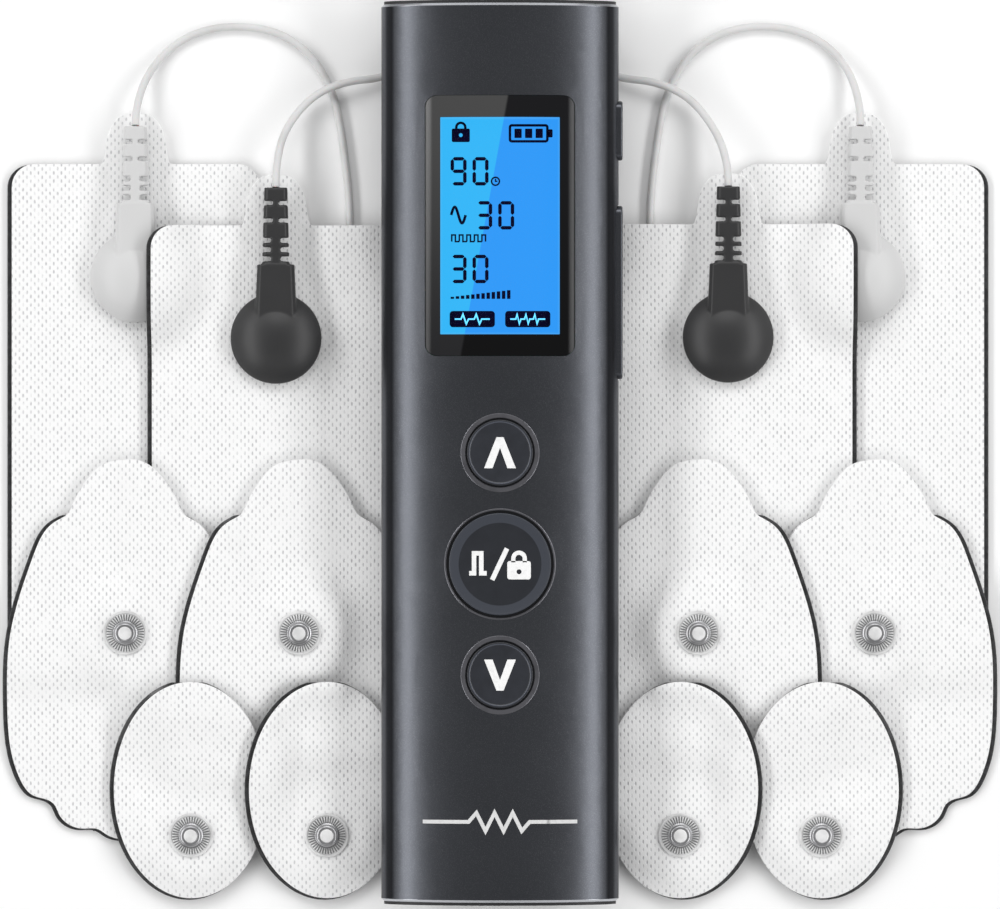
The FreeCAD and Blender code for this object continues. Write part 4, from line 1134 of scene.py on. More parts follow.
def solids(node: str) -> list[Solid]:
    """Separate solids of a CAD node.

    Args:
        node: The node's name.

    Returns:
        The solids, in the order of their lowest corner numbers.
    """
    work = bmesh.new()
    work.from_mesh(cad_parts[node].data)
    bmesh.ops.remove_doubles(work, verts=work.verts, dist=WELD)
    work.verts.ensure_lookup_table()
    found, seen = [], set()
    for seed in work.verts:
        if seed.index in seen:
            continue
        seen.add(seed.index)
        numbers, queue, faces = {seed.index: 0}, [seed], set()
        while queue:
            corner = queue.pop()
            faces.update(corner.link_faces)
            for edge in corner.link_edges:
                other = edge.other_vert(corner)
                if other.index not in seen:
                    seen.add(other.index)
                    numbers[other.index] = len(numbers)
                    queue.append(other)
        ordered = sorted(faces, key=lambda face: face.index)
        found.append(Solid([work.verts[k].co / MM for k in sorted(numbers, key=numbers.get)],
                           [tuple(numbers[v.index] for v in face.verts) for face in ordered]))
    work.free()
    return found


# ---- the studio ----
@dataclass
class Studio:
    """Floor, camera and lights; sizes in metres."""

    lens: float = 300.0
    sensor: float = 36.0
    view_width: float = 0.1664
    view_level: float = 0.0088
    view_y: float = -0.0003
    strip_angle: float = 53.0
    strip_distance: float = 1.0
    strip_size: Point2 = (1.8, 0.24)
    strip_power: float = 6.7
    head_power: float = 5.6
    foot_power: float = 0.8
    fill_distance: float = 1.0
    fill_level: float = 0.95
    fill_size: Point2 = (1.0, 0.5)
    ambient: float = 0.3
    floor_width: float = 3.0
    floor_corner: float = 0.2
    floor_thick: float = 0.002

    def build(self) -> None:
        """Set up the camera, the floor and the lights."""
        self.camera()
        self.floor()
        self.lights()

    def camera(self) -> None:
        """Place the camera straight above the set."""
        data = bpy.data.cameras.new("camera")
        data.lens = self.lens
        data.sensor_width = self.sensor
        data.clip_start, data.clip_end = 0.05, 20.0
        camera = bpy.data.objects.new("camera", data)
        height = self.view_width * self.lens / self.sensor
        camera.location = (0.0, self.view_y, self.view_level + height)
        bpy.context.scene.collection.objects.link(camera)
        bpy.context.scene.camera = camera

    def floor(self) -> None:
        """Lay the pale floor."""
        g = Graph("studio_floor")
        patch = g.noise(60.0, 2.0)
        finish = g.dress(base_color=g.blend(patch, tone("FCFCFC"), tone("F8F8F8")), roughness=0.8)
        sheet = Shaper()
        width = self.floor_width / MM
        sheet.plate(rounded_box(width, width, self.floor_corner / MM), -self.floor_thick / MM, 0.0)
        ground = sheet.build("studio_floor", finish)

    def light(self, name: str, spot: Point3, size: Point2, power: float) -> None:
        """Add one soft light that faces the middle of the set.

        Args:
            name: The light's name.
            spot: Where it stands.
            size: Its width and length.
            power: Its power in watts.
        """
        data = bpy.data.lights.new(name, "AREA")
        data.shape = "RECTANGLE"
        data.size, data.size_y = size
        data.energy = power
        lamp = bpy.data.objects.new(name, data)
        lamp.location = spot
        lamp.rotation_euler = (-Vector(spot)).to_track_quat("-Z", "Y").to_euler()
        bpy.context.scene.collection.objects.link(lamp)

    def lights(self) -> None:
        """A long strip on each side, a fill beyond each end and an even surround."""
        lean = math.radians(self.strip_angle)
        for side in Side:
            across, height = self.strip_distance * math.sin(lean), self.strip_distance * math.cos(lean)
            self.light("strip_" + side.word, (side.value * across, 0.0, height), self.strip_size,
                       self.strip_power)
        for name, way, power in (("head_fill", 1.0, self.head_power), ("foot_fill", -1.0, self.foot_power)):
            self.light(name, (0.0, way * self.fill_distance, self.fill_level), self.fill_size, power)
        world = bpy.data.worlds.new("surround")
        world.use_nodes = True
        world.node_tree.nodes["Background"].inputs["Color"].default_value = (1.0, 1.0, 1.0, 1.0)
        world.node_tree.nodes["Background"].inputs["Strength"].default_value = self.ambient
        bpy.context.scene.world = world
        bpy.context.scene.view_settings.view_transform = "Standard"


# ---- leads ----
LEFT_WHITE_ROUTE = [
    (-0.0157, 0.08435, 0.00175), (-0.0112, 0.0827, 0.0015), (-0.0079, 0.0783, 0.0009),
    (-0.0075, 0.0705, 0.00072), (-0.0079, 0.0585, 0.00072), (-0.0074, 0.0465, 0.00072),
    (-0.0071, 0.0365, 0.00072), (-0.0074, 0.0282, 0.00072), (-0.0107, 0.0237, 0.00072),
    (-0.016, 0.0219, 0.00072), (-0.0213, 0.0237, 0.00072), (-0.0246, 0.0282, 0.00072),
    (-0.02515, 0.0355, 0.00072), (-0.0252, 0.0432, 0.00072), (-0.0266, 0.0546, 0.00072),
    (-0.0281, 0.0609, 0.00072), (-0.032, 0.0673, 0.00072), (-0.0389, 0.0713, 0.00072),
    (-0.0492, 0.0713, 0.00072), (-0.0567, 0.067, 0.0009), (-0.0609, 0.0594, 0.0024),
    (-0.0609, 0.05466, 0.00355),
]
LEFT_BLACK_ROUTE = [
    (-0.0163, 0.08265, 0.00175), (-0.0127, 0.0812, 0.0014), (-0.0106, 0.0772, 0.0009),
    (-0.011, 0.071, 0.00072), (-0.014, 0.0656, 0.00075), (-0.0196, 0.0626, 0.0013),
    (-0.0258, 0.0621, 0.0031), (-0.0317, 0.0595, 0.0031), (-0.0361, 0.0539, 0.0033),
    (-0.0374, 0.048, 0.0046), (-0.0374, 0.0443, 0.00505),
]
LEFT_TRUNK_OUT = [
    (-0.007, 0.097, 0.00705), (-0.007, 0.104, 0.00705), (-0.0104, 0.1101, 0.0054), (-0.0165, 0.1137, 0.003),
    (-0.025, 0.1155, 0.0014),
]
LEFT_TRUNK_BACK = [(-0.0310, 0.0866, 0.0060), (-0.0278, 0.0868, 0.0024), (-0.0245, 0.0866, 0.00175)]
RIGHT_ENDS = {
    LeadColour.WHITE: [(0.0603, 0.0594, 0.0024), (0.0602, 0.05466, 0.00355)],
    LeadColour.BLACK: [(0.0381, 0.0482, 0.0046), (0.0381, 0.0445, 0.00505)],
}
ROUTES = {LeadColour.WHITE: LEFT_WHITE_ROUTE, LeadColour.BLACK: LEFT_BLACK_ROUTE}


def mirrored(points: Sequence[Point3], side: Side) -> list[Point3]:
    """The left side's points, turned over for the right side."""
    return [(-x * side.value, y, z) for x, y, z in points]


def wire_route(side: Side, colour: LeadColour) -> list[Point3]:
    """Route of one lead wire from its splitter to its connector."""
    route = mirrored(ROUTES[colour], side)
    return route if side is Side.LEFT else route[:-2] + RIGHT_ENDS[colour]


@dataclass
class TrunkCoil:
    """The wound part of a trunk lead: lanes beside and on each other."""

    centre: Point2 = (-36.0, 101.5)
    radii: tuple[float, ...] = (14.7, 12.5, 10.3)
    first_level: float = 1.15
    rise: float = 2.2
    layers: int = 4
    points_a_turn: int = 16
    half_turns: int = 23
    step_over: float = 0.25

    def lanes(self) -> list[Point2]:
        """Lanes of all turns, from the outside in and back out again, layer by layer.

        Returns:
            Radius and level of each lane.
        """
        order = [self.radii, self.radii[::-1]] * (self.layers // 2)
        return [(radius, self.first_level + self.rise * layer)
                for layer, row in enumerate(order) for radius in row]

    def points(self) -> list[Point3]:
        """Control points of all turns for the left side.

        Returns:
            The points, in metres; the last part of each turn steps over to the next lane.
        """
        lanes = self.lanes()
        inward = 0.75 + 0.25 * math.cos(2 * math.pi / self.points_a_turn)
        made = []
        for k in range(self.half_turns * self.points_a_turn // 2 + 1):
            turn = k / self.points_a_turn
            lane = min(int(turn), len(lanes) - 1)
            after = min(lane + 1, len(lanes) - 1)
            share = max(0.0, (turn - lane - 1 + self.step_over) / self.step_over)
            radius = (lanes[lane][0] * (1 - share) + lanes[after][0] * share) / inward
            level = lanes[lane][1] * (1 - share) + lanes[after][1] * share
            angle = math.pi / 2 + 2 * math.pi * turn
            made.append(((self.centre[0] + radius * math.cos(angle)) * MM,
                         (self.centre[1] + radius * math.sin(angle)) * MM, level * MM))
        return made


@dataclass
class LeadSet:
    """One output's leads: plug, trunk with its coil, splitter and two wires."""

    side: Side
    jacket: bpy.types.Material
    rubber: bpy.types.Material
    metal: bpy.types.Material
    trunk_radius: float = 1.09
    wire_radius: float = 0.65
    boot_radius: float = 3.1
    boot_start: float = 75.1
    boot_end: float = 88.1
    relief_end: float = 97.0
    plug_x: float = 7.0
    plug_level: float = 7.05
    splitter_size: Point3 = (9.0, 4.6, 3.4)
    splitter_start: Point2 = (-24.5, 86.6)
    splitter_way: Point2 = (0.94, -0.342)
    splitter_corner: float = 1.15
    cord_sides: int = 16
    grooves_a_grip: float = 9.0
    groove_depth: float = 0.22
    groove_reach: Point2 = (0.25, 0.8)
    waist_depth: float = 0.28
    rib_pitch: float = 2.2
    rib_radius: float = 2.05
    rib_core: float = 1.35

    def name(self, part: str) -> str:
        """A part's name with the side in front."""
        return f"{self.side.word}_{part}"

    def boot(self) -> bpy.types.Object:
        """Moulded plug grip with finger rings and a ribbed tapered relief.

        Returns:
            The grip.
        """
        profile: list[Point2] = [(1.3, self.boot_start), (2.5, self.boot_start)]
        profile += [(self.boot_radius - 0.6 + 0.5 * math.sin(a), self.boot_start + 0.5 - 0.5 * math.cos(a))
                    for a in (math.pi / 8 * k for k in range(1, 5))]
        grip = self.boot_end - self.boot_start
        groove_from, groove_to = self.groove_reach
        for k in range(49):
            share = 0.06 + 0.86 * k / 48
            radius = self.boot_radius - self.waist_depth * math.sin(math.pi * share) ** 2
            if groove_from < share < groove_to:
                wave = max(0.0, math.cos(2 * math.pi * share * self.grooves_a_grip))
                radius -= self.groove_depth * wave ** 6
            profile.append((radius, self.boot_start + grip * share))
        profile += [(2.7, self.boot_end - 0.4), (2.1, self.boot_end)]
        for k in range(3):
            y = self.boot_end + self.rib_pitch * k
            radius = self.rib_radius - 0.15 * k
            profile += [(radius, y + 0.15), (radius, y + 1.9), (radius - 0.12, y + 2.0),
                        (self.rib_core, y + 2.0), (self.rib_core, y + 2.8), (radius - 0.27, y + 2.8)]
        profile += [(1.62, self.relief_end - 0.3), (1.5, self.relief_end), (1.1, self.relief_end)]
        work = Shaper()
        work.revolve(profile, steps=48)
        middle = self.side.value * self.plug_x
        work.corners = [(middle + x, z, self.plug_level - y) for x, y, z in work.corners]
        return keep(work.build(self.name("boot"), self.rubber, 50), self.name("plug"),
                    [self.name("plug_boot")])

    def splitter(self) -> bpy.types.Object:
        """Moulded collar where the trunk divides, waisted and round-edged.

        Returns:
            The collar.
        """
        length, width, height = self.splitter_size
        work = Shaper()
        rings = []
        stations = [(0.0, 0.55), (0.02, 0.74), (0.06, 0.87), (0.14, 0.95), (0.3, 0.97), (0.5, 0.94),
                    (0.7, 0.97), (0.86, 1.0), (0.94, 0.93), (0.98, 0.82), (1.0, 0.64)]
        for share, swell in stations:
            section = rounded_box(width * swell, (height - 0.1) * swell, self.splitter_corner * swell, 6)
            middle = 0.07 + height / 2 * (0.985 + 0.015 * swell)
            rings.append(work.ring((length * share, x, middle + z) for x, z in section))
        work.loft(rings, foot=True, head=True)
        way = Vector((-self.side.value * self.splitter_way[0], self.splitter_way[1])).normalized()
        x0, y0 = -self.side.value * self.splitter_start[0], self.splitter_start[1]
        work.corners = [(x0 + way.x * u - way.y * v, y0 + way.y * u + way.x * v, z)
                        for u, v, z in work.corners]
        return keep(work.build(self.name("split_collar"), self.rubber, 40), "root",
                    [self.name("splitter")])

    def trunk(self, collar: bpy.types.Object) -> None:
        """The trunk lead: out of the plug, round its coil and into the splitter.

        Args:
            collar: The splitter at its far end; not used.
        """
        points = mirrored(LEFT_TRUNK_OUT + TrunkCoil().points() + LEFT_TRUNK_BACK, self.side)
        line = route_line(self.name("trunk_line"), points)
        work = Shaper()
        work.tube([p / MM for p in line], self.trunk_radius, self.cord_sides)
        trunk = work.build(self.name("trunk"), self.jacket, 60)
        self.name("plug")
        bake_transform(trunk)
        keep(trunk, "", [self.name("trunk_lead"), self.name("trunk_coil")])

    def wire(self, colour: LeadColour, connector: bpy.types.Object) -> None:
        """One thin lead wire.

        Args:
            colour: Which connector it ends in.
            connector: That connector; not used.
        """
        points = wire_route(self.side, colour)
        line = route_line(self.name(colour.value + "_line"), points)
        work = Shaper()
        work.tube([p / MM for p in line], self.wire_radius, self.cord_sides)
        wire = work.build(self.name(colour.value + "_lead"), self.jacket, 60)
        self.name(colour.value + "_head")
        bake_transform(wire)
        keep(wire, "", [self.name(colour.value + "_wire")])

    def build(self, connectors: Mapping[LeadColour, bpy.types.Object]) -> None:
        """Make the whole lead set.

        Args:
            connectors: The two snap connectors by colour.
        """
        self.boot()
        self.trunk(self.splitter())
        for colour, connector in connectors.items():
            self.wire(colour, connector)
        dress_node(self.name("plug_pin"), self.metal)


@dataclass
class SnapConnector:
    """Overmoulded snap head with its block and ribbed relief, and the metal ring that grips the stud."""

    side: Side
    colour: LeadColour
    rubber: bpy.types.Material
    metal: bpy.types.Material
    voxel: float = 0.17
    soften: int = 4

    def build(self) -> bpy.types.Object:
        """Round off the moulding's edges and dress it and its socket.

        Returns:
            The moulding.
        """
        stem = f"{self.side.word}_{self.colour.value}"
        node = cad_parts[stem + "_connector"]
        carrier = bpy.data.objects.new("rounding", node.data.copy())
        bpy.context.scene.collection.objects.link(carrier)
        remesh = carrier.modifiers.new("remesh", "REMESH")
        remesh.mode = "VOXEL"
        remesh.voxel_size = self.voxel * MM
        smooth = carrier.modifiers.new("smooth", "SMOOTH")
        smooth.factor, smooth.iterations = 0.5, self.soften
        depsgraph = bpy.context.evaluated_depsgraph_get()
        mesh = bpy.data.meshes.new_from_object(carrier.evaluated_get(depsgraph))
        bpy.data.objects.remove(carrier)
        piece = place_mesh(mesh, stem + "_snap", self.rubber, 80)
        keep(piece, stem + "_head", [stem + "_connector"])
        dress_node(stem + "_socket", self.metal)
        return piece


# ---- electrode pads ----
@dataclass
class ElectrodePad:
    """One pad: embossed cover, gel layer under it and coined snap stud on it."""

    name: str
    kind: PadKind
    cover_finish: bpy.types.Material
    gel_finish: bpy.types.Material
    stud_finish: bpy.types.Material
    boss_finish: bpy.types.Material
    cover_thick: float = 0.4
    gel_thick: float = 0.75
    edge_step: float = 0.6
    grid_step: float = 1.3
    teeth: int = 40
    flange_radius: float = 3.7
    flange_bore: float = 2.05
    tooth_height: float = 0.17
    tooth_points: int = 6
    boss_radius: float = 1.9
    boss_height: float = 2.35
    neck_cut: float = 0.16
    gel_edge: float = 0.12
    cover_edge: float = 0.14
    edge_probe: float = 0.25

    def lay(self, solid: Solid, name: str, thick: float, edge: float,
            finish: bpy.types.Material) -> bpy.types.Object:
        """Sheet with a soft edge that lies on the surface of its CAD solid.

        Args:
            solid: The CAD solid, which gives the outline and the heights.
            name: The new piece's name.
            thick: The sheet's thickness in millimetres.
            edge: Radius of its rounded edge.
            finish: Its material.

        Returns:
            The sheet.
        """
        loop = [Vector(p) for p in solid.outline(self.edge_step)]
        tree = BVHTree.FromPolygons(solid.corners, solid.faces)
        count = len(loop)
        inward = []
        for k in range(count):
            way = (loop[(k + 1) % count] - loop[k - 1]).normalized()
            inward.append(Vector((-way.y, way.x)))
        probe = [p + n * self.edge_probe for p, n in zip(loop, inward)]

        def level(x: float, y: float) -> float:
            """Height of the CAD solid's top at a place.

            Args:
                x: The place across.
                y: The place along.

            Returns:
                The height.
            """
            for nudge in (0.0, 0.013, -0.017):
                hit = tree.ray_cast(Vector((x + nudge, y + 0.7 * nudge, SKY)), DOWN)[0]
                if hit:
                    return hit.z
            return tree.find_nearest(Vector((x, y, solid.high.z)))[0].z

        heights = [level(p.x, p.y) for p in probe]
        rim = [(0.0, edge), (0.3 * edge, 0.3 * edge), (edge, 0.0)]
        work = Shaper()
        rings = [work.ring((p.x, p.y, z - thick + edge) for p, z in zip(loop, heights))]
        rings += [work.ring((p.x + n.x * step, p.y + n.y * step, z - drop)
                            for p, n, z in zip(loop, inward, heights)) for step, drop in rim]
        work.loft(rings)
        border = [Vector(work.corners[k]) for k in rings[-1]]
        flat = [p.xy for p in border]
        inside = self.grid(flat)
        places, _, faces, origins, *_ = delaunay_2d_cdt(flat + inside, [], [list(range(count))], 1, 1e-6)
        top = []
        for place, source in zip(places, origins):
            if source and source[0] < count:
                top.append(rings[-1][source[0]])
            else:
                top += work.ring([(place.x, place.y, level(place.x, place.y))])
        work.faces += [tuple(top[k] for k in face) for face in faces]
        under = work.ring((work.corners[k][0], work.corners[k][1], work.corners[k][2] - thick) for k in top)
        work.faces += [tuple(under[k] for k in reversed(face)) for face in faces]
        lower = {ring: under[k] for k, ring in enumerate(top)}
        work.bridge([lower[k] for k in rings[-1]], rings[0])
        return work.build(name, finish, 60)

    def grid(self, border: Sequence[Vector]) -> list[Vector]:
        """Even grid of places well inside a border.

        Args:
            border: The border's corners.

        Returns:
            The places, column by column.
        """
        left, right = min(p.x for p in border), max(p.x for p in border)
        foot, head = min(p.y for p in border), max(p.y for p in border)
        step = self.grid_step
        made = []
        for i in range(int((right - left) / step) + 1):
            for j in range(int((head - foot) / step) + 1):
                place = Vector((left + (i + 0.5) * step, foot + (j + 0.5 * (i % 2)) * step))
                if self.covers(border, place):
                    made.append(place)
        return made

    def covers(self, border: Sequence[Vector], place: Vector) -> bool:
        """Whether a place lies inside a border and clear of it.

        Args:
            border: The border's corners.
            place: The place.

        Returns:
            True where it does.
        """
        inside = False
        clear = (0.45 * self.grid_step) ** 2
        for k, b in enumerate(border):
            a = border[k - 1]
            if (place - b).length_squared < clear:
                return False
            if (a.y > place.y) != (b.y > place.y):
                crossing = a.x + (place.y - a.y) * (b.x - a.x) / (b.y - a.y)
                inside ^= place.x < crossing
        return inside

    def flange(self, solid: Solid) -> bpy.types.Object:
        """Bright flange of the coined stud with its rolled rim and radial teeth, and the crown of its boss in
        the same bright finish as a painted highlight.

        Args:
            solid: The stud's CAD solid, which gives its place.

        Returns:
            The flange.
        """
        centre, base = (solid.centre.x, solid.centre.y), solid.low.z
        outer = self.flange_radius - 0.5
        steps = self.teeth * self.tooth_points
        rim = [(self.flange_radius - 0.14, base), (self.flange_radius, base + 0.12),
               (self.flange_radius, base + 0.24), (self.flange_radius - 0.12, base + 0.35),
               (self.flange_radius - 0.38, base + 0.35), (outer, base + 0.24)]
        work = Shaper()
        rings = work.turned(rim, steps, centre)
        for share in (0.04, 0.16, 0.5, 0.84, 0.96):
            swell = min(1.0, share / 0.16, (1 - share) / 0.16) * self.tooth_height
            places = circle(outer + (self.flange_bore - outer) * share, steps, centre)
            waves = (0.5 + 0.5 * math.cos(2 * math.pi * k / self.tooth_points) for k in range(steps))
            rings.append(work.ring((x, y, base + 0.15 + swell * wave) for (x, y), wave in zip(places, waves)))
        work.loft(rings, foot=True)
        # The boss's crown takes the bright flange finish: a painted highlight on the boss top.
        top = base + self.boss_height
        crown = [(1.1, top - 0.06), (1.02, top - 0.03), (0.8, top - 0.012), (0.4, top)]
        work.loft(work.turned(crown, 48, centre), head=True)
        return keep(work.build(self.name + "_stud", self.stud_finish, 42), "root", ["snap_studs"])

    def boss(self, solid: Solid) -> None:
        """Darker waisted boss of the stud, a shaded copy of the stud metal, and dark plates of painted shade in
        the slots between its teeth.

        Args:
            solid: The stud's CAD solid, which gives its place.
        """
        centre, base = solid.centre.xy, solid.low.z
        top = base + self.boss_height
        work = Shaper()
        # Dark plates in the valleys between the teeth: painted shade.
        for k in range(self.teeth):
            turn = 2 * math.pi * (k + 0.5) / self.teeth
            way, side = Vector((math.cos(turn), math.sin(turn))), Vector((-math.sin(turn), math.cos(turn)))
            near, far = way * 2.0, way * (self.flange_radius - 0.62)
            slot = [near - side * 0.06, far - side * 0.1, far + way * 0.06, far + side * 0.1,
                    near + side * 0.06]
            work.plate([tuple(centre + p) for p in slot], base + 0.2, base + 0.27)
        # The boss is built in a darker copy of the stud metal: painted shade.
        neck = self.boss_radius - self.neck_cut
        profile = [(2.09, base + 0.14), (neck + 0.04, base + 0.3), (neck, base + 0.6), (neck, base + 1.1),
                   (self.boss_radius - 0.03, base + 1.5), (self.boss_radius, base + 1.75)]
        profile += [(self.boss_radius - 0.62 + r, top - 0.62 + z) for r, z in arc_points(0.6, 8, 82, 6)]
        profile += [(1.2, top - 0.05), (1.1, top - 0.1), (0.9, top - 0.12)]
        work.loft(work.turned(profile, 72, tuple(centre)), foot=True, head=True)
        keep(work.build(self.name + "_stud_boss", self.boss_finish, 42), "root", ["snap_studs"])

    def build(self, cover: Solid, gel: Solid, stud: Solid) -> None:
        """Make the pad.

        Args:
            cover: CAD solid of its cloth.
            gel: CAD solid of its gel layer.
            stud: CAD solid of its snap stud.
        """
        layer = self.lay(gel, self.name + "_gel", self.gel_thick, self.gel_edge, self.gel_finish)
        keep(layer, "root", ["gel_layers"])
        cloth = self.lay(cover, self.name + "_cover", self.cover_thick, self.cover_edge, self.cover_finish)
        keep(cloth, "root", [self.name + "_pad"])
        flange = self.flange(stud)
        self.boss(stud)
        loop = cover.outline(self.edge_step)
        area = abs(sum(a[0] * b[1] - a[1] * b[0] for a, b in zip(loop, loop[1:] + loop[:1]))) / 2
        area * MM * MM


@dataclass
class PadPile:
    """All twelve pads."""

    cover_finish: bpy.types.Material
    gel_finish: bpy.types.Material
    stud_finish: bpy.types.Material
    boss_finish: bpy.types.Material

    def build(self) -> None:
        """Match each cover with its gel and stud, then make the pads."""
        gels, studs = solids("gel_layers"), solids("snap_studs")
        for layer in ("back", "front"):
            for kind in PadKind:
                for side in Side:
                    name = f"{layer}_{kind.name.lower()}_{side.word}"
                    cover = max(solids(name + "_pad"), key=lambda s: len(s.corners))
                    gel = min(gels, key=lambda s: self.gap(cover, s))
                    gels.remove(gel)
                    stud = min(studs, key=lambda s: abs(s.low.z - self.level(cover, s)) +
                               (0.0 if self.over(cover, s) else 1000.0))
                    studs.remove(stud)
                    pad = ElectrodePad(name, kind, self.cover_finish, self.gel_finish, self.stud_finish,
                                       self.boss_finish)
                    pad.build(cover, gel, stud)

    @staticmethod
    def gap(cover: Solid, gel: Solid) -> float:
        """How far a gel's middle is from a cover's, sideways and in height."""
        apart = cover.centre - gel.centre
        return abs(apart.x) + 0.5 * abs(cover.low.y - gel.low.y) + 0.2 * abs(apart.z)

    @staticmethod
    def over(cover: Solid, stud: Solid) -> bool:
        """Whether a stud stands on the middle line of a cover."""
        centre = stud.centre
        return abs(centre.x - cover.centre.x) < 1.0 and cover.low.y < centre.y < cover.high.y

    @staticmethod
    def level(cover: Solid, stud: Solid) -> float:
        """Height of a cover's top under a stud.

        Args:
            cover: The cover.
            stud: The stud.

        Returns:
            The height, or a level far below where the stud isn't over the cover.
        """
        tree = BVHTree.FromPolygons(cover.corners, cover.faces)
        hit = tree.ray_cast(Vector((stud.centre.x, stud.centre.y, SKY)), DOWN)[0]
        return hit.z if hit else -100.0


# ---- controller ----
@dataclass
class Display:
    """Window, lit panel and the figures on it."""

    centre_y: float = 37.6
    stroke: float = 0.58
    ink_low: float = 0.01
    ink_high: float = 0.05
    corner: float = 2.0
    roll: float = 1.3
    roll_drop: float = 0.17
    thick: float = 1.1
    axis_level: float = 8.85
    figure_size: Point2 = (2.66, 4.72)
    figure_columns: tuple[float, ...] = (-8.2, -4.56)
    shifted_columns: tuple[float, ...] = (-3.95, -0.3)
    row_levels: Point3 = (6.7, -0.6, -9.5)
    status_level: float = 15.35
    tab_level: float = -15.45
    tab_size: Point2 = (7.5, 2.7)
    segments: Mapping[str, str] = field(default_factory=lambda: {"0": "abcdef", "3": "abcdg", "9": "abcdfg"})

    def digit(self, work: Shaper, figure: str, x0: float, y0: float, width: float, height: float) -> None:
        """Seven-segment figure.

        Args:
            work: The mesh that takes it.
            figure: The figure to show.
            x0: Its left edge.
            y0: Its lower edge.
            width: Its width.
            height: Its height.
        """
        t = self.stroke / 2
        left, right = x0 + t, x0 + width - t
        low, middle, high = y0 + t, y0 + height / 2, y0 + height - t
        ends = {"a": ((left, high), (right, high)), "b": ((right, high), (right, middle)),
                "c": ((right, middle), (right, low)), "d": ((left, low), (right, low)),
                "e": ((left, middle), (left, low)), "f": ((left, high), (left, middle)),
                "g": ((left, middle), (right, middle))}
        for letter in self.segments[figure]:
            (ax, ay), (bx, by) = ends[letter]
            way = Vector((bx - ax, by - ay)).normalized()
            side = Vector((-way.y, way.x)) * t
            a, b = Vector((ax, ay)) + way * 0.05, Vector((bx, by)) - way * 0.05
            outline = [a, a + way * t - side, b - way * t - side, b, b - way * t + side, a + way * t + side]
            work.plate([tuple(p) for p in outline], self.ink_low, self.ink_high)

    def line(self, work: Shaper, points: Sequence[Point2], width: float, closed: bool = False) -> None:
        """Draw an ink line."""
        work.stroke(points, width, self.ink_low, self.ink_high, closed)

    def patch(self, work: Shaper, outline: Sequence[Point2], holes: Sequence[Sequence[Point2]] = ()) -> None:
        """Lay an ink patch."""
        work.plate(outline, self.ink_low, self.ink_high, holes)

    def status_row(self, work: Shaper) -> None:
        """Padlock at the left and battery gauge at the right.

        Args:
            work: The mesh that takes them.
        """
        lock_x, gauge_x, level = -6.5, 4.75, self.status_level
        keyhole = arc_points(0.32, 0, 350, 11, (lock_x, 15.05))
        self.patch(work, rounded_box(3.0, 2.25, 0.25, 3, (lock_x, 15.02)), [keyhole])
        shackle = [(lock_x - 0.75, 16.1), *arc_points(0.75, 180, 0, 10, (lock_x, 16.35)), (lock_x + 0.75, 16.1)]
        self.line(work, shackle, 0.42)
        self.line(work, rounded_box(6.2, 2.65, 0.3, 3, (gauge_x, level)), 0.42, closed=True)
        self.patch(work, rounded_box(0.85, 1.35, 0.2, 3, (8.3, level)))
        for shift in (-1.75, 0.0, 1.75):
            self.patch(work, rounded_box(1.2, 1.55, 0.08, 2, (gauge_x + shift, level)))

    def readings(self, work: Shaper) -> None:
        """The three rows of figures.

        Args:
            work: The mesh that takes them.
        """
        columns = (self.figure_columns, self.shifted_columns, self.figure_columns)
        for figures, row, level in zip(("90", "30", "30"), columns, self.row_levels):
            for figure, x in zip(figures, row):
                self.digit(work, figure, x, level, *self.figure_size)

    def signs(self, work: Shaper) -> None:
        """Small signs beside and under the figures: clock, wave, pulses and rising bars.

        Args:
            work: The mesh that takes them.
        """
        clock_x, clock_y = -0.75, 7.4
        self.line(work, arc_points(0.66, 0, 350, 19, (clock_x, clock_y)), 0.26, closed=True)
        self.line(work, [(clock_x, clock_y + 0.42), (clock_x, clock_y), (clock_x + 0.33, clock_y)], 0.22)
        wave = [(-8.1 + 0.1 * k, 1.8 + 1.35 * math.sin(2 * math.pi * k / 24)) for k in range(25)]
        self.line(work, wave, 0.45)
        low, high, pitch = -2.6, -1.5, 1.25
        for k in range(5):
            x = -8.0 + pitch * k
            pulse = [(x, low), (x, high), (x + 0.6, high), (x + 0.6, low), (x + pitch, low)]
            self.line(work, pulse[:5 if k < 4 else 4], 0.26)
        for k in range(12):
            tall = 0.35 + 0.1 * k
            self.patch(work, rounded_box(0.58, tall, 0.05, 2, (-7.9 + 0.85 * k, -12.1 + tall / 2)))

    def tabs(self, work: Shaper, light: Shaper) -> None:
        """Two dark tabs at the foot, each with a light pulse sign.

        Args:
            work: The mesh of the dark ink.
            light: The mesh of the light signs.
        """
        level, beat_height, lead_in, half_beats = self.tab_level, 0.8, 2.9, 2.2
        for x, beats in ((-4.6, 2), (4.6, 3)):
            self.patch(work, rounded_box(*self.tab_size, 0.55, 5, (x, level)))
            trace = [(x - lead_in, level)]
            step = 2 * half_beats / beats
            for k in range(beats):
                start = x - half_beats + step * k
                trace += [(start + step * 0.15, level), (start + step * 0.3, level + beat_height),
                          (start + step * 0.55, level - beat_height), (start + step * 0.72, level)]
            trace.append((x + lead_in, level))
            light.stroke(trace, 0.24, self.ink_high, self.ink_high + 0.03)

    def window(self) -> bpy.types.Object:
        """Arched glass, flush with the tube, its long edges rolled over.

        Returns:
            The window.
        """
        low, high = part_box("display_window")
        half_x, half_y = high[0] / MM, (high[1] - low[1]) / 2 / MM
        crest, middle = high[2] / MM, self.axis_level

        def top(x: float) -> float:
            """Level of the glass at a distance from the middle line.

            Args:
                x: The distance.

            Returns:
                The level.
            """
            inside = min(1.0, max(0.0, (half_x - abs(x)) / self.roll))
            arch = (crest - middle) * math.sqrt(1 - (x / TUBE_HALF_WIDTH) ** 2)
            return middle + arch - self.roll_drop * (1 - inside) ** 2

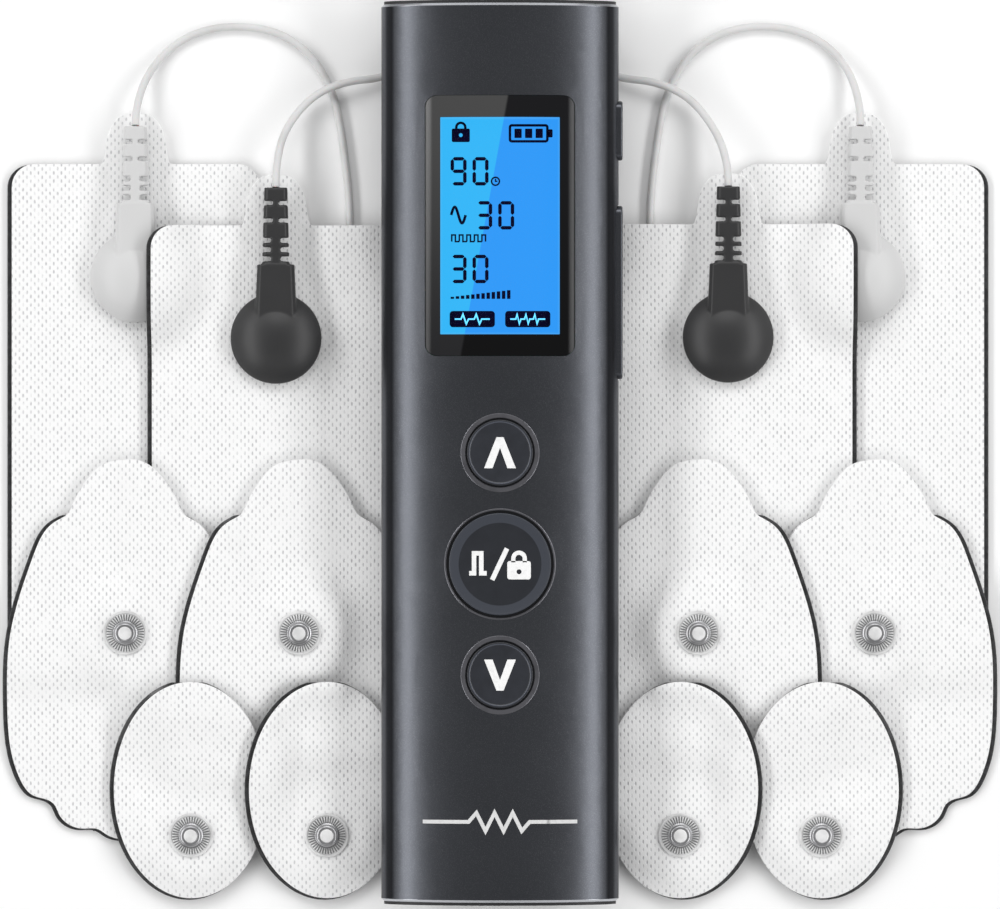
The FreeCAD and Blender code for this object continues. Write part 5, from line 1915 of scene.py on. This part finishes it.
        work = Shaper()
        columns = [-half_x * math.cos(math.pi * k / 64) for k in range(65)]
        rows_top, rows_under = [], []
        for x in columns:
            short = max(0.0, self.corner - (half_x - abs(x)))
            reach = half_y - self.corner + math.sqrt(max(0.0, self.corner ** 2 - short ** 2))
            ys = [-reach + 2 * reach * k / 24 for k in range(25)]
            rows_top.append(work.ring((x, self.centre_y + y, top(x)) for y in ys))
            rows_under.append(work.ring((x, self.centre_y + y, top(x) - self.thick) for y in ys))
        for a, b in zip(rows_top, rows_top[1:]):
            work.bridge(b, a, closed=False)
        for a, b in zip(rows_under, rows_under[1:]):
            work.bridge(a, b, closed=False)
        rim_top, rim_under = (
            rows[0] + [row[-1] for row in rows[1:-1]] + rows[-1][::-1] + [row[0] for row in rows[-2:0:-1]]
            for rows in (rows_top, rows_under))
        work.bridge(rim_under, rim_top)
        glass = work.build("display_glass", WindowGlass().make(), 45)
        return keep(glass, "root", ["display_window"])

    def build(self) -> None:
        """Make the window, dress the panel and print the figures."""
        self.window()
        dress_node("lcd_panel", LitPanel().make())
        ink, light = Shaper(), Shaper()
        self.status_row(ink)
        self.readings(ink)
        self.signs(ink)
        self.tabs(ink, light)
        panel_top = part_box("lcd_panel")[1][2] / MM
        dark = Inlay("panel_ink", tone("040024"), 0.05, 0.7, 0.05)
        bright = Inlay("panel_light", tone("5EC8FF"), 1.0)
        for work, name, finish in ((ink, "panel_figures", dark), (light, "panel_tab_signs", bright)):
            work.corners = [(x, y + self.centre_y, z + panel_top) for x, y, z in work.corners]
            keep(work.build(name, finish.make()), "root")


@dataclass
class RoundKey:
    """A turned key cap with its stem and its printed sign."""

    name: str
    body: str
    centre_y: float
    radius: float
    dish_radius: float
    dish_depth: float
    bevel: float
    stem_radius: float = 2.0
    flange_reach: float = 0.55
    flange_thick: float = 0.5
    flange_drop: float = 1.06
    edge: float = 0.22
    print_sink: float = 0.03
    print_thick: float = 0.06

    def cap(self, finish: bpy.types.Material) -> bpy.types.Object:
        """Turned cap with soft edges, flange and stem.

        Args:
            finish: Its material.

        Returns:
            The cap.
        """
        low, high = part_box(self.name + "_button")
        top, foot = high[2] / MM, low[2] / MM
        flange_top, flange_radius = top - self.flange_drop, self.radius + self.flange_reach
        profile = [(0.0, foot), (self.stem_radius, foot), (self.stem_radius, flange_top - self.flange_thick),
                   (flange_radius, flange_top - self.flange_thick), (flange_radius, flange_top),
                   (self.radius, flange_top)]
        profile += arc_points(self.edge, 0, 90, 6, (self.radius - self.edge, top - self.edge))
        profile += [(self.dish_radius + self.bevel, top), (self.dish_radius + self.bevel - 0.05, top - 0.015)]
        profile += [(self.dish_radius + self.bevel * (1 - share), top - self.dish_depth * (0.1 + 0.9 * share))
                    for share in (0.25, 0.5, 0.75, 0.92)]
        floor = top - self.dish_depth
        profile.append((self.dish_radius - 0.08, floor))
        profile += [(self.dish_radius * share, floor - sink)
                    for share, sink in ((0.75, 0.012), (0.5, 0.02), (0.25, 0.026), (0.0, 0.028))]
        work = Shaper()
        work.revolve(profile, (0.0, self.centre_y), 160)
        cap = work.build(self.name + "_cap", finish, 50)
        return keep(cap, self.body, [self.name + "_button"])

    def finish(self) -> KeyCap:
        """Finish with a fine painted highlight line round the dish."""
        return KeyCap(self.name + "_cap_finish", self.centre_y, self.dish_radius + 0.1,
                      self.dish_radius + 0.28, tone("4A4E59"))

    def sign(self, finish: bpy.types.Material) -> bpy.types.Object:
        """Printed sign on the cap.

        Args:
            finish: Its ink.

        Returns:
            The sign.
        """
        work = Shaper()
        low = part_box(self.name + "_button")[1][2] / MM - self.dish_depth - self.print_sink
        self.draw(work, low, low + self.print_thick)
        work.corners = [(x, y + self.centre_y, z) for x, y, z in work.corners]
        return keep(work.build(self.name + "_sign", finish), self.body)

    def draw(self, work: Shaper, low: float, high: float) -> None:
        """Draw the sign about the cap's middle."""
        raise NotImplementedError


@dataclass
class ArrowKey(RoundKey):
    """Up or down key with an open arrow."""

    radius: float = 5.5
    dish_radius: float = 4.9
    dish_depth: float = 0.12
    bevel: float = 0.22
    up: bool = True
    width: float = 5.26
    height: float = 5.14
    foot: float = 1.4
    apex: float = 1.17

    def draw(self, work: Shaper, low: float, high: float) -> None:
        """Open arrow with a flat apex.

        Args:
            work: The mesh that takes it.
            low: Level of its underside.
            high: Level of its top.
        """
        half, tall = self.width / 2, self.height / 2
        way = 1 if self.up else -1
        notch = tall - self.foot * self.height / (self.width - self.apex)
        outline = [(-half, -tall), (-self.apex / 2, tall), (self.apex / 2, tall), (half, -tall),
                   (half - self.foot, -tall), (0.0, notch), (self.foot - half, -tall)]
        work.plate([(x, way * y) for x, y in outline], low, high)


@dataclass
class ModeLockKey(RoundKey):
    """Middle key with a pulse, a stroke and a padlock."""

    radius: float = 8.5
    dish_radius: float = 6.85
    dish_depth: float = 0.2
    bevel: float = 1.45

    def finish(self) -> KeyCap:
        """Finish with a wide lighter ring round the face."""
        return KeyCap("lock_cap_finish", self.centre_y, self.dish_radius, self.radius - 0.05, tone("363A43"))

    def draw(self, work: Shaper, low: float, high: float) -> None:
        """Pulse sign, slanting stroke and padlock.

        Args:
            work: The mesh that takes them.
            low: Level of their underside.
            high: Level of their top.
        """
        pulse = [(-5.1, -1.5), (-4.3, -1.5), (-4.3, 1.8), (-3.1, 1.8), (-3.1, -1.5), (-2.2, -1.5)]
        work.stroke(pulse, 0.75, low, high)
        work.stroke([(-1.3, -2.6), (1.15, 2.6)], 0.8, low, high)
        lock_x = 3.15
        keyhole = arc_points(0.42, 0, 350, 13, (lock_x, -1.25))
        work.plate(rounded_box(3.9, 3.04, 0.4, 4, (lock_x, -1.0)), low, high, [keyhole])
        shackle = [(lock_x - 0.95, 0.3), *arc_points(0.95, 180, 0, 12, (lock_x, 0.95)), (lock_x + 0.95, 0.3)]
        work.stroke(shackle, 0.7, low, high)


@dataclass
class BezelRing:
    """Thin turned ring round a key, with softened edges."""

    centre_y: float
    outer: float
    bore: float

    def shape(self, work: Shaper, low: float, top: float) -> None:
        """Turn the ring's section.

        Args:
            work: The mesh that takes it.
            low: Level of its foot.
            top: Level of its top.
        """
        profile = [(self.bore, low), (self.bore, top - 0.1), (self.bore + 0.1, top), (self.outer - 0.12, top),
                   (self.outer - 0.02, top - 0.07), (self.outer - 0.02, low), (self.bore, low)]
        work.revolve(profile, (0.0, self.centre_y), 160)


@dataclass
class Controller:
    """The oval controller: tube, caps, keys, display and everything inside."""

    up_y: float = 0.0
    lock_y: float = -18.45
    down_y: float = -36.8
    mark_y: float = -61.1
    mark_width: float = 0.62
    mark_height: float = 0.03
    mark_lift: float = 0.045
    small_ring: Point2 = (6.55, 5.75)
    lock_ring: Point2 = (9.25, 8.9)

    def rings(self) -> None:
        """Turned bezel rings of the three round keys."""
        low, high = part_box("button_bezels")
        work = Shaper()
        for centre, size in ((self.up_y, self.small_ring), (self.down_y, self.small_ring),
                             (self.lock_y, self.lock_ring)):
            BezelRing(centre, *size).shape(work, low[2] / MM, high[2] / MM)
        finish = TurnedMetal("bezel_metal", tone("8A8A90"), 0.22)
        keep(work.build("key_bezels", finish.make(), 30), "root", ["button_bezels"])

    def keys(self) -> None:
        """The three round keys."""
        white = Inlay("key_ink", tone("F6F6F6")).make()
        for key in (ArrowKey("up", "up_key", self.up_y), ModeLockKey("lock", "lock_key", self.lock_y),
                    ArrowKey("down", "down_key", self.down_y, up=False)):
            key.cap(key.finish().make())
            key.sign(white)

    def mark(self) -> None:
        """Plain pulse line low on the front, following the tube's curve."""
        work = Shaper()
        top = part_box("housing_tube")[1][2] / MM
        half_zigzag, piece, size = 5.6, 0.6, (self.mark_width, 0.0, self.mark_height)
        line = [(-half_zigzag, 0.0), (-5.2, 0.0), (-3.9, 1.5), (-2.4, -1.5), (-0.9, 1.5), (0.6, -1.5),
                (2.1, 1.5), (3.6, -1.5), (4.9, 0.0), (half_zigzag, 0.0)]
        work.stroke(line, *size)
        for k in range(12):
            near, far = half_zigzag + piece * k, half_zigzag + piece * (k + 1)
            work.stroke([(near, 0.0), (far, 0.0)], *size)
            work.stroke([(-far, 0.0), (-near, 0.0)], *size)
        bent = []
        for x, y, z in work.corners:
            fall = TUBE_HALF_HEIGHT * (1 - math.sqrt(1 - (x / TUBE_HALF_WIDTH) ** 2))
            bent.append((x, y + self.mark_y, top - fall + self.mark_lift + z))
        work.corners = bent
        keep(work.build("pulse_mark", Inlay("case_ink", tone("DDDDDD")).make()), "root")

    def inside(self) -> None:
        """Everything in the case, and the screws and port at its ends."""
        for finish, nodes in (
                (TurnedMetal("screw_steel", tone("C6C6C8"), 0.2),
                 ("end_cap_screws", "rocker_pin", "charging_port")),
                (Moulding("carrier_plastic", tone("3A3A3C"), 0.55),
                 ("inner_carrier", "button_guide", "lead_jacks")),
                (Moulding("component_plastic", tone("1E1E20"), 0.42, 0.08),
                 ("board_components", "tact_switches", "buzzer")),
                (CircuitBoard(), ("main_board",)),
                (Winding(), ("pulse_transformers",)),
                (FoilPouch(), ("battery_cell",)),
                (Moulding("diffuser", tone("EDEFF2"), 0.5, 0.2, 0.003, 0.03), ("backlight_plate",))):
            material = finish.make()
            for node in nodes:
                dress_node(node, material)

    def build(self) -> None:
        """Make and dress the whole controller."""
        metal = BlastedAluminium().make()
        for node in ("housing_tube", "power_button", "mode_rocker"):
            dress_node(node, metal, 25)
        cap = Moulding("cap_plastic", tone("1A1A1C"), 0.45).make()
        for node in ("top_end_cap", "bottom_end_cap"):
            dress_node(node, cap)
        self.rings()
        self.keys()
        self.mark()
        Display().build()
        self.inside()


def main() -> None:
    """Build the scene: camera, leads, pads, controller."""
    logging.basicConfig(level=logging.INFO, format="%(name)s: %(message)s")
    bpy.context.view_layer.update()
    Studio().build()
    jacket = LeadJacket().make()
    boots = Moulding("boot_rubber", tone("E9E9E9"), 0.42, 0.14, 0.004, 0.04).make()
    rubbers = {
        LeadColour.WHITE: Moulding("snap_white", tone("D0D0D0"), 0.36, 0.14, 0.004, 0.04).make(),
        LeadColour.BLACK: Moulding("snap_black", tone("272728"), 0.36, 0.12, 0.004, 0.15).make(),
    }
    nickel = TurnedMetal("nickel_plate", tone("D6D6D8"), 0.16).make()
    for side in Side:
        connectors = {colour: SnapConnector(side, colour, rubbers[colour], nickel).build()
                      for colour in LeadColour}
        LeadSet(side, jacket, boots, nickel).build(connectors)
    # A bright and a darker copy of one stud metal: the bright crown is a painted highlight, the darker boss
    # painted shade.
    coined = TurnedMetal("stud_metal", tone("F0F0F0"), 0.42, metallic=0.2).make()
    PadPile(Nonwoven().make(), CarbonGel().make(), coined,
            TurnedMetal("stud_boss_metal", tone("B4B4B6"), 0.24).make()).build()
    Controller().build()


if __name__ == "__main__":
    main()
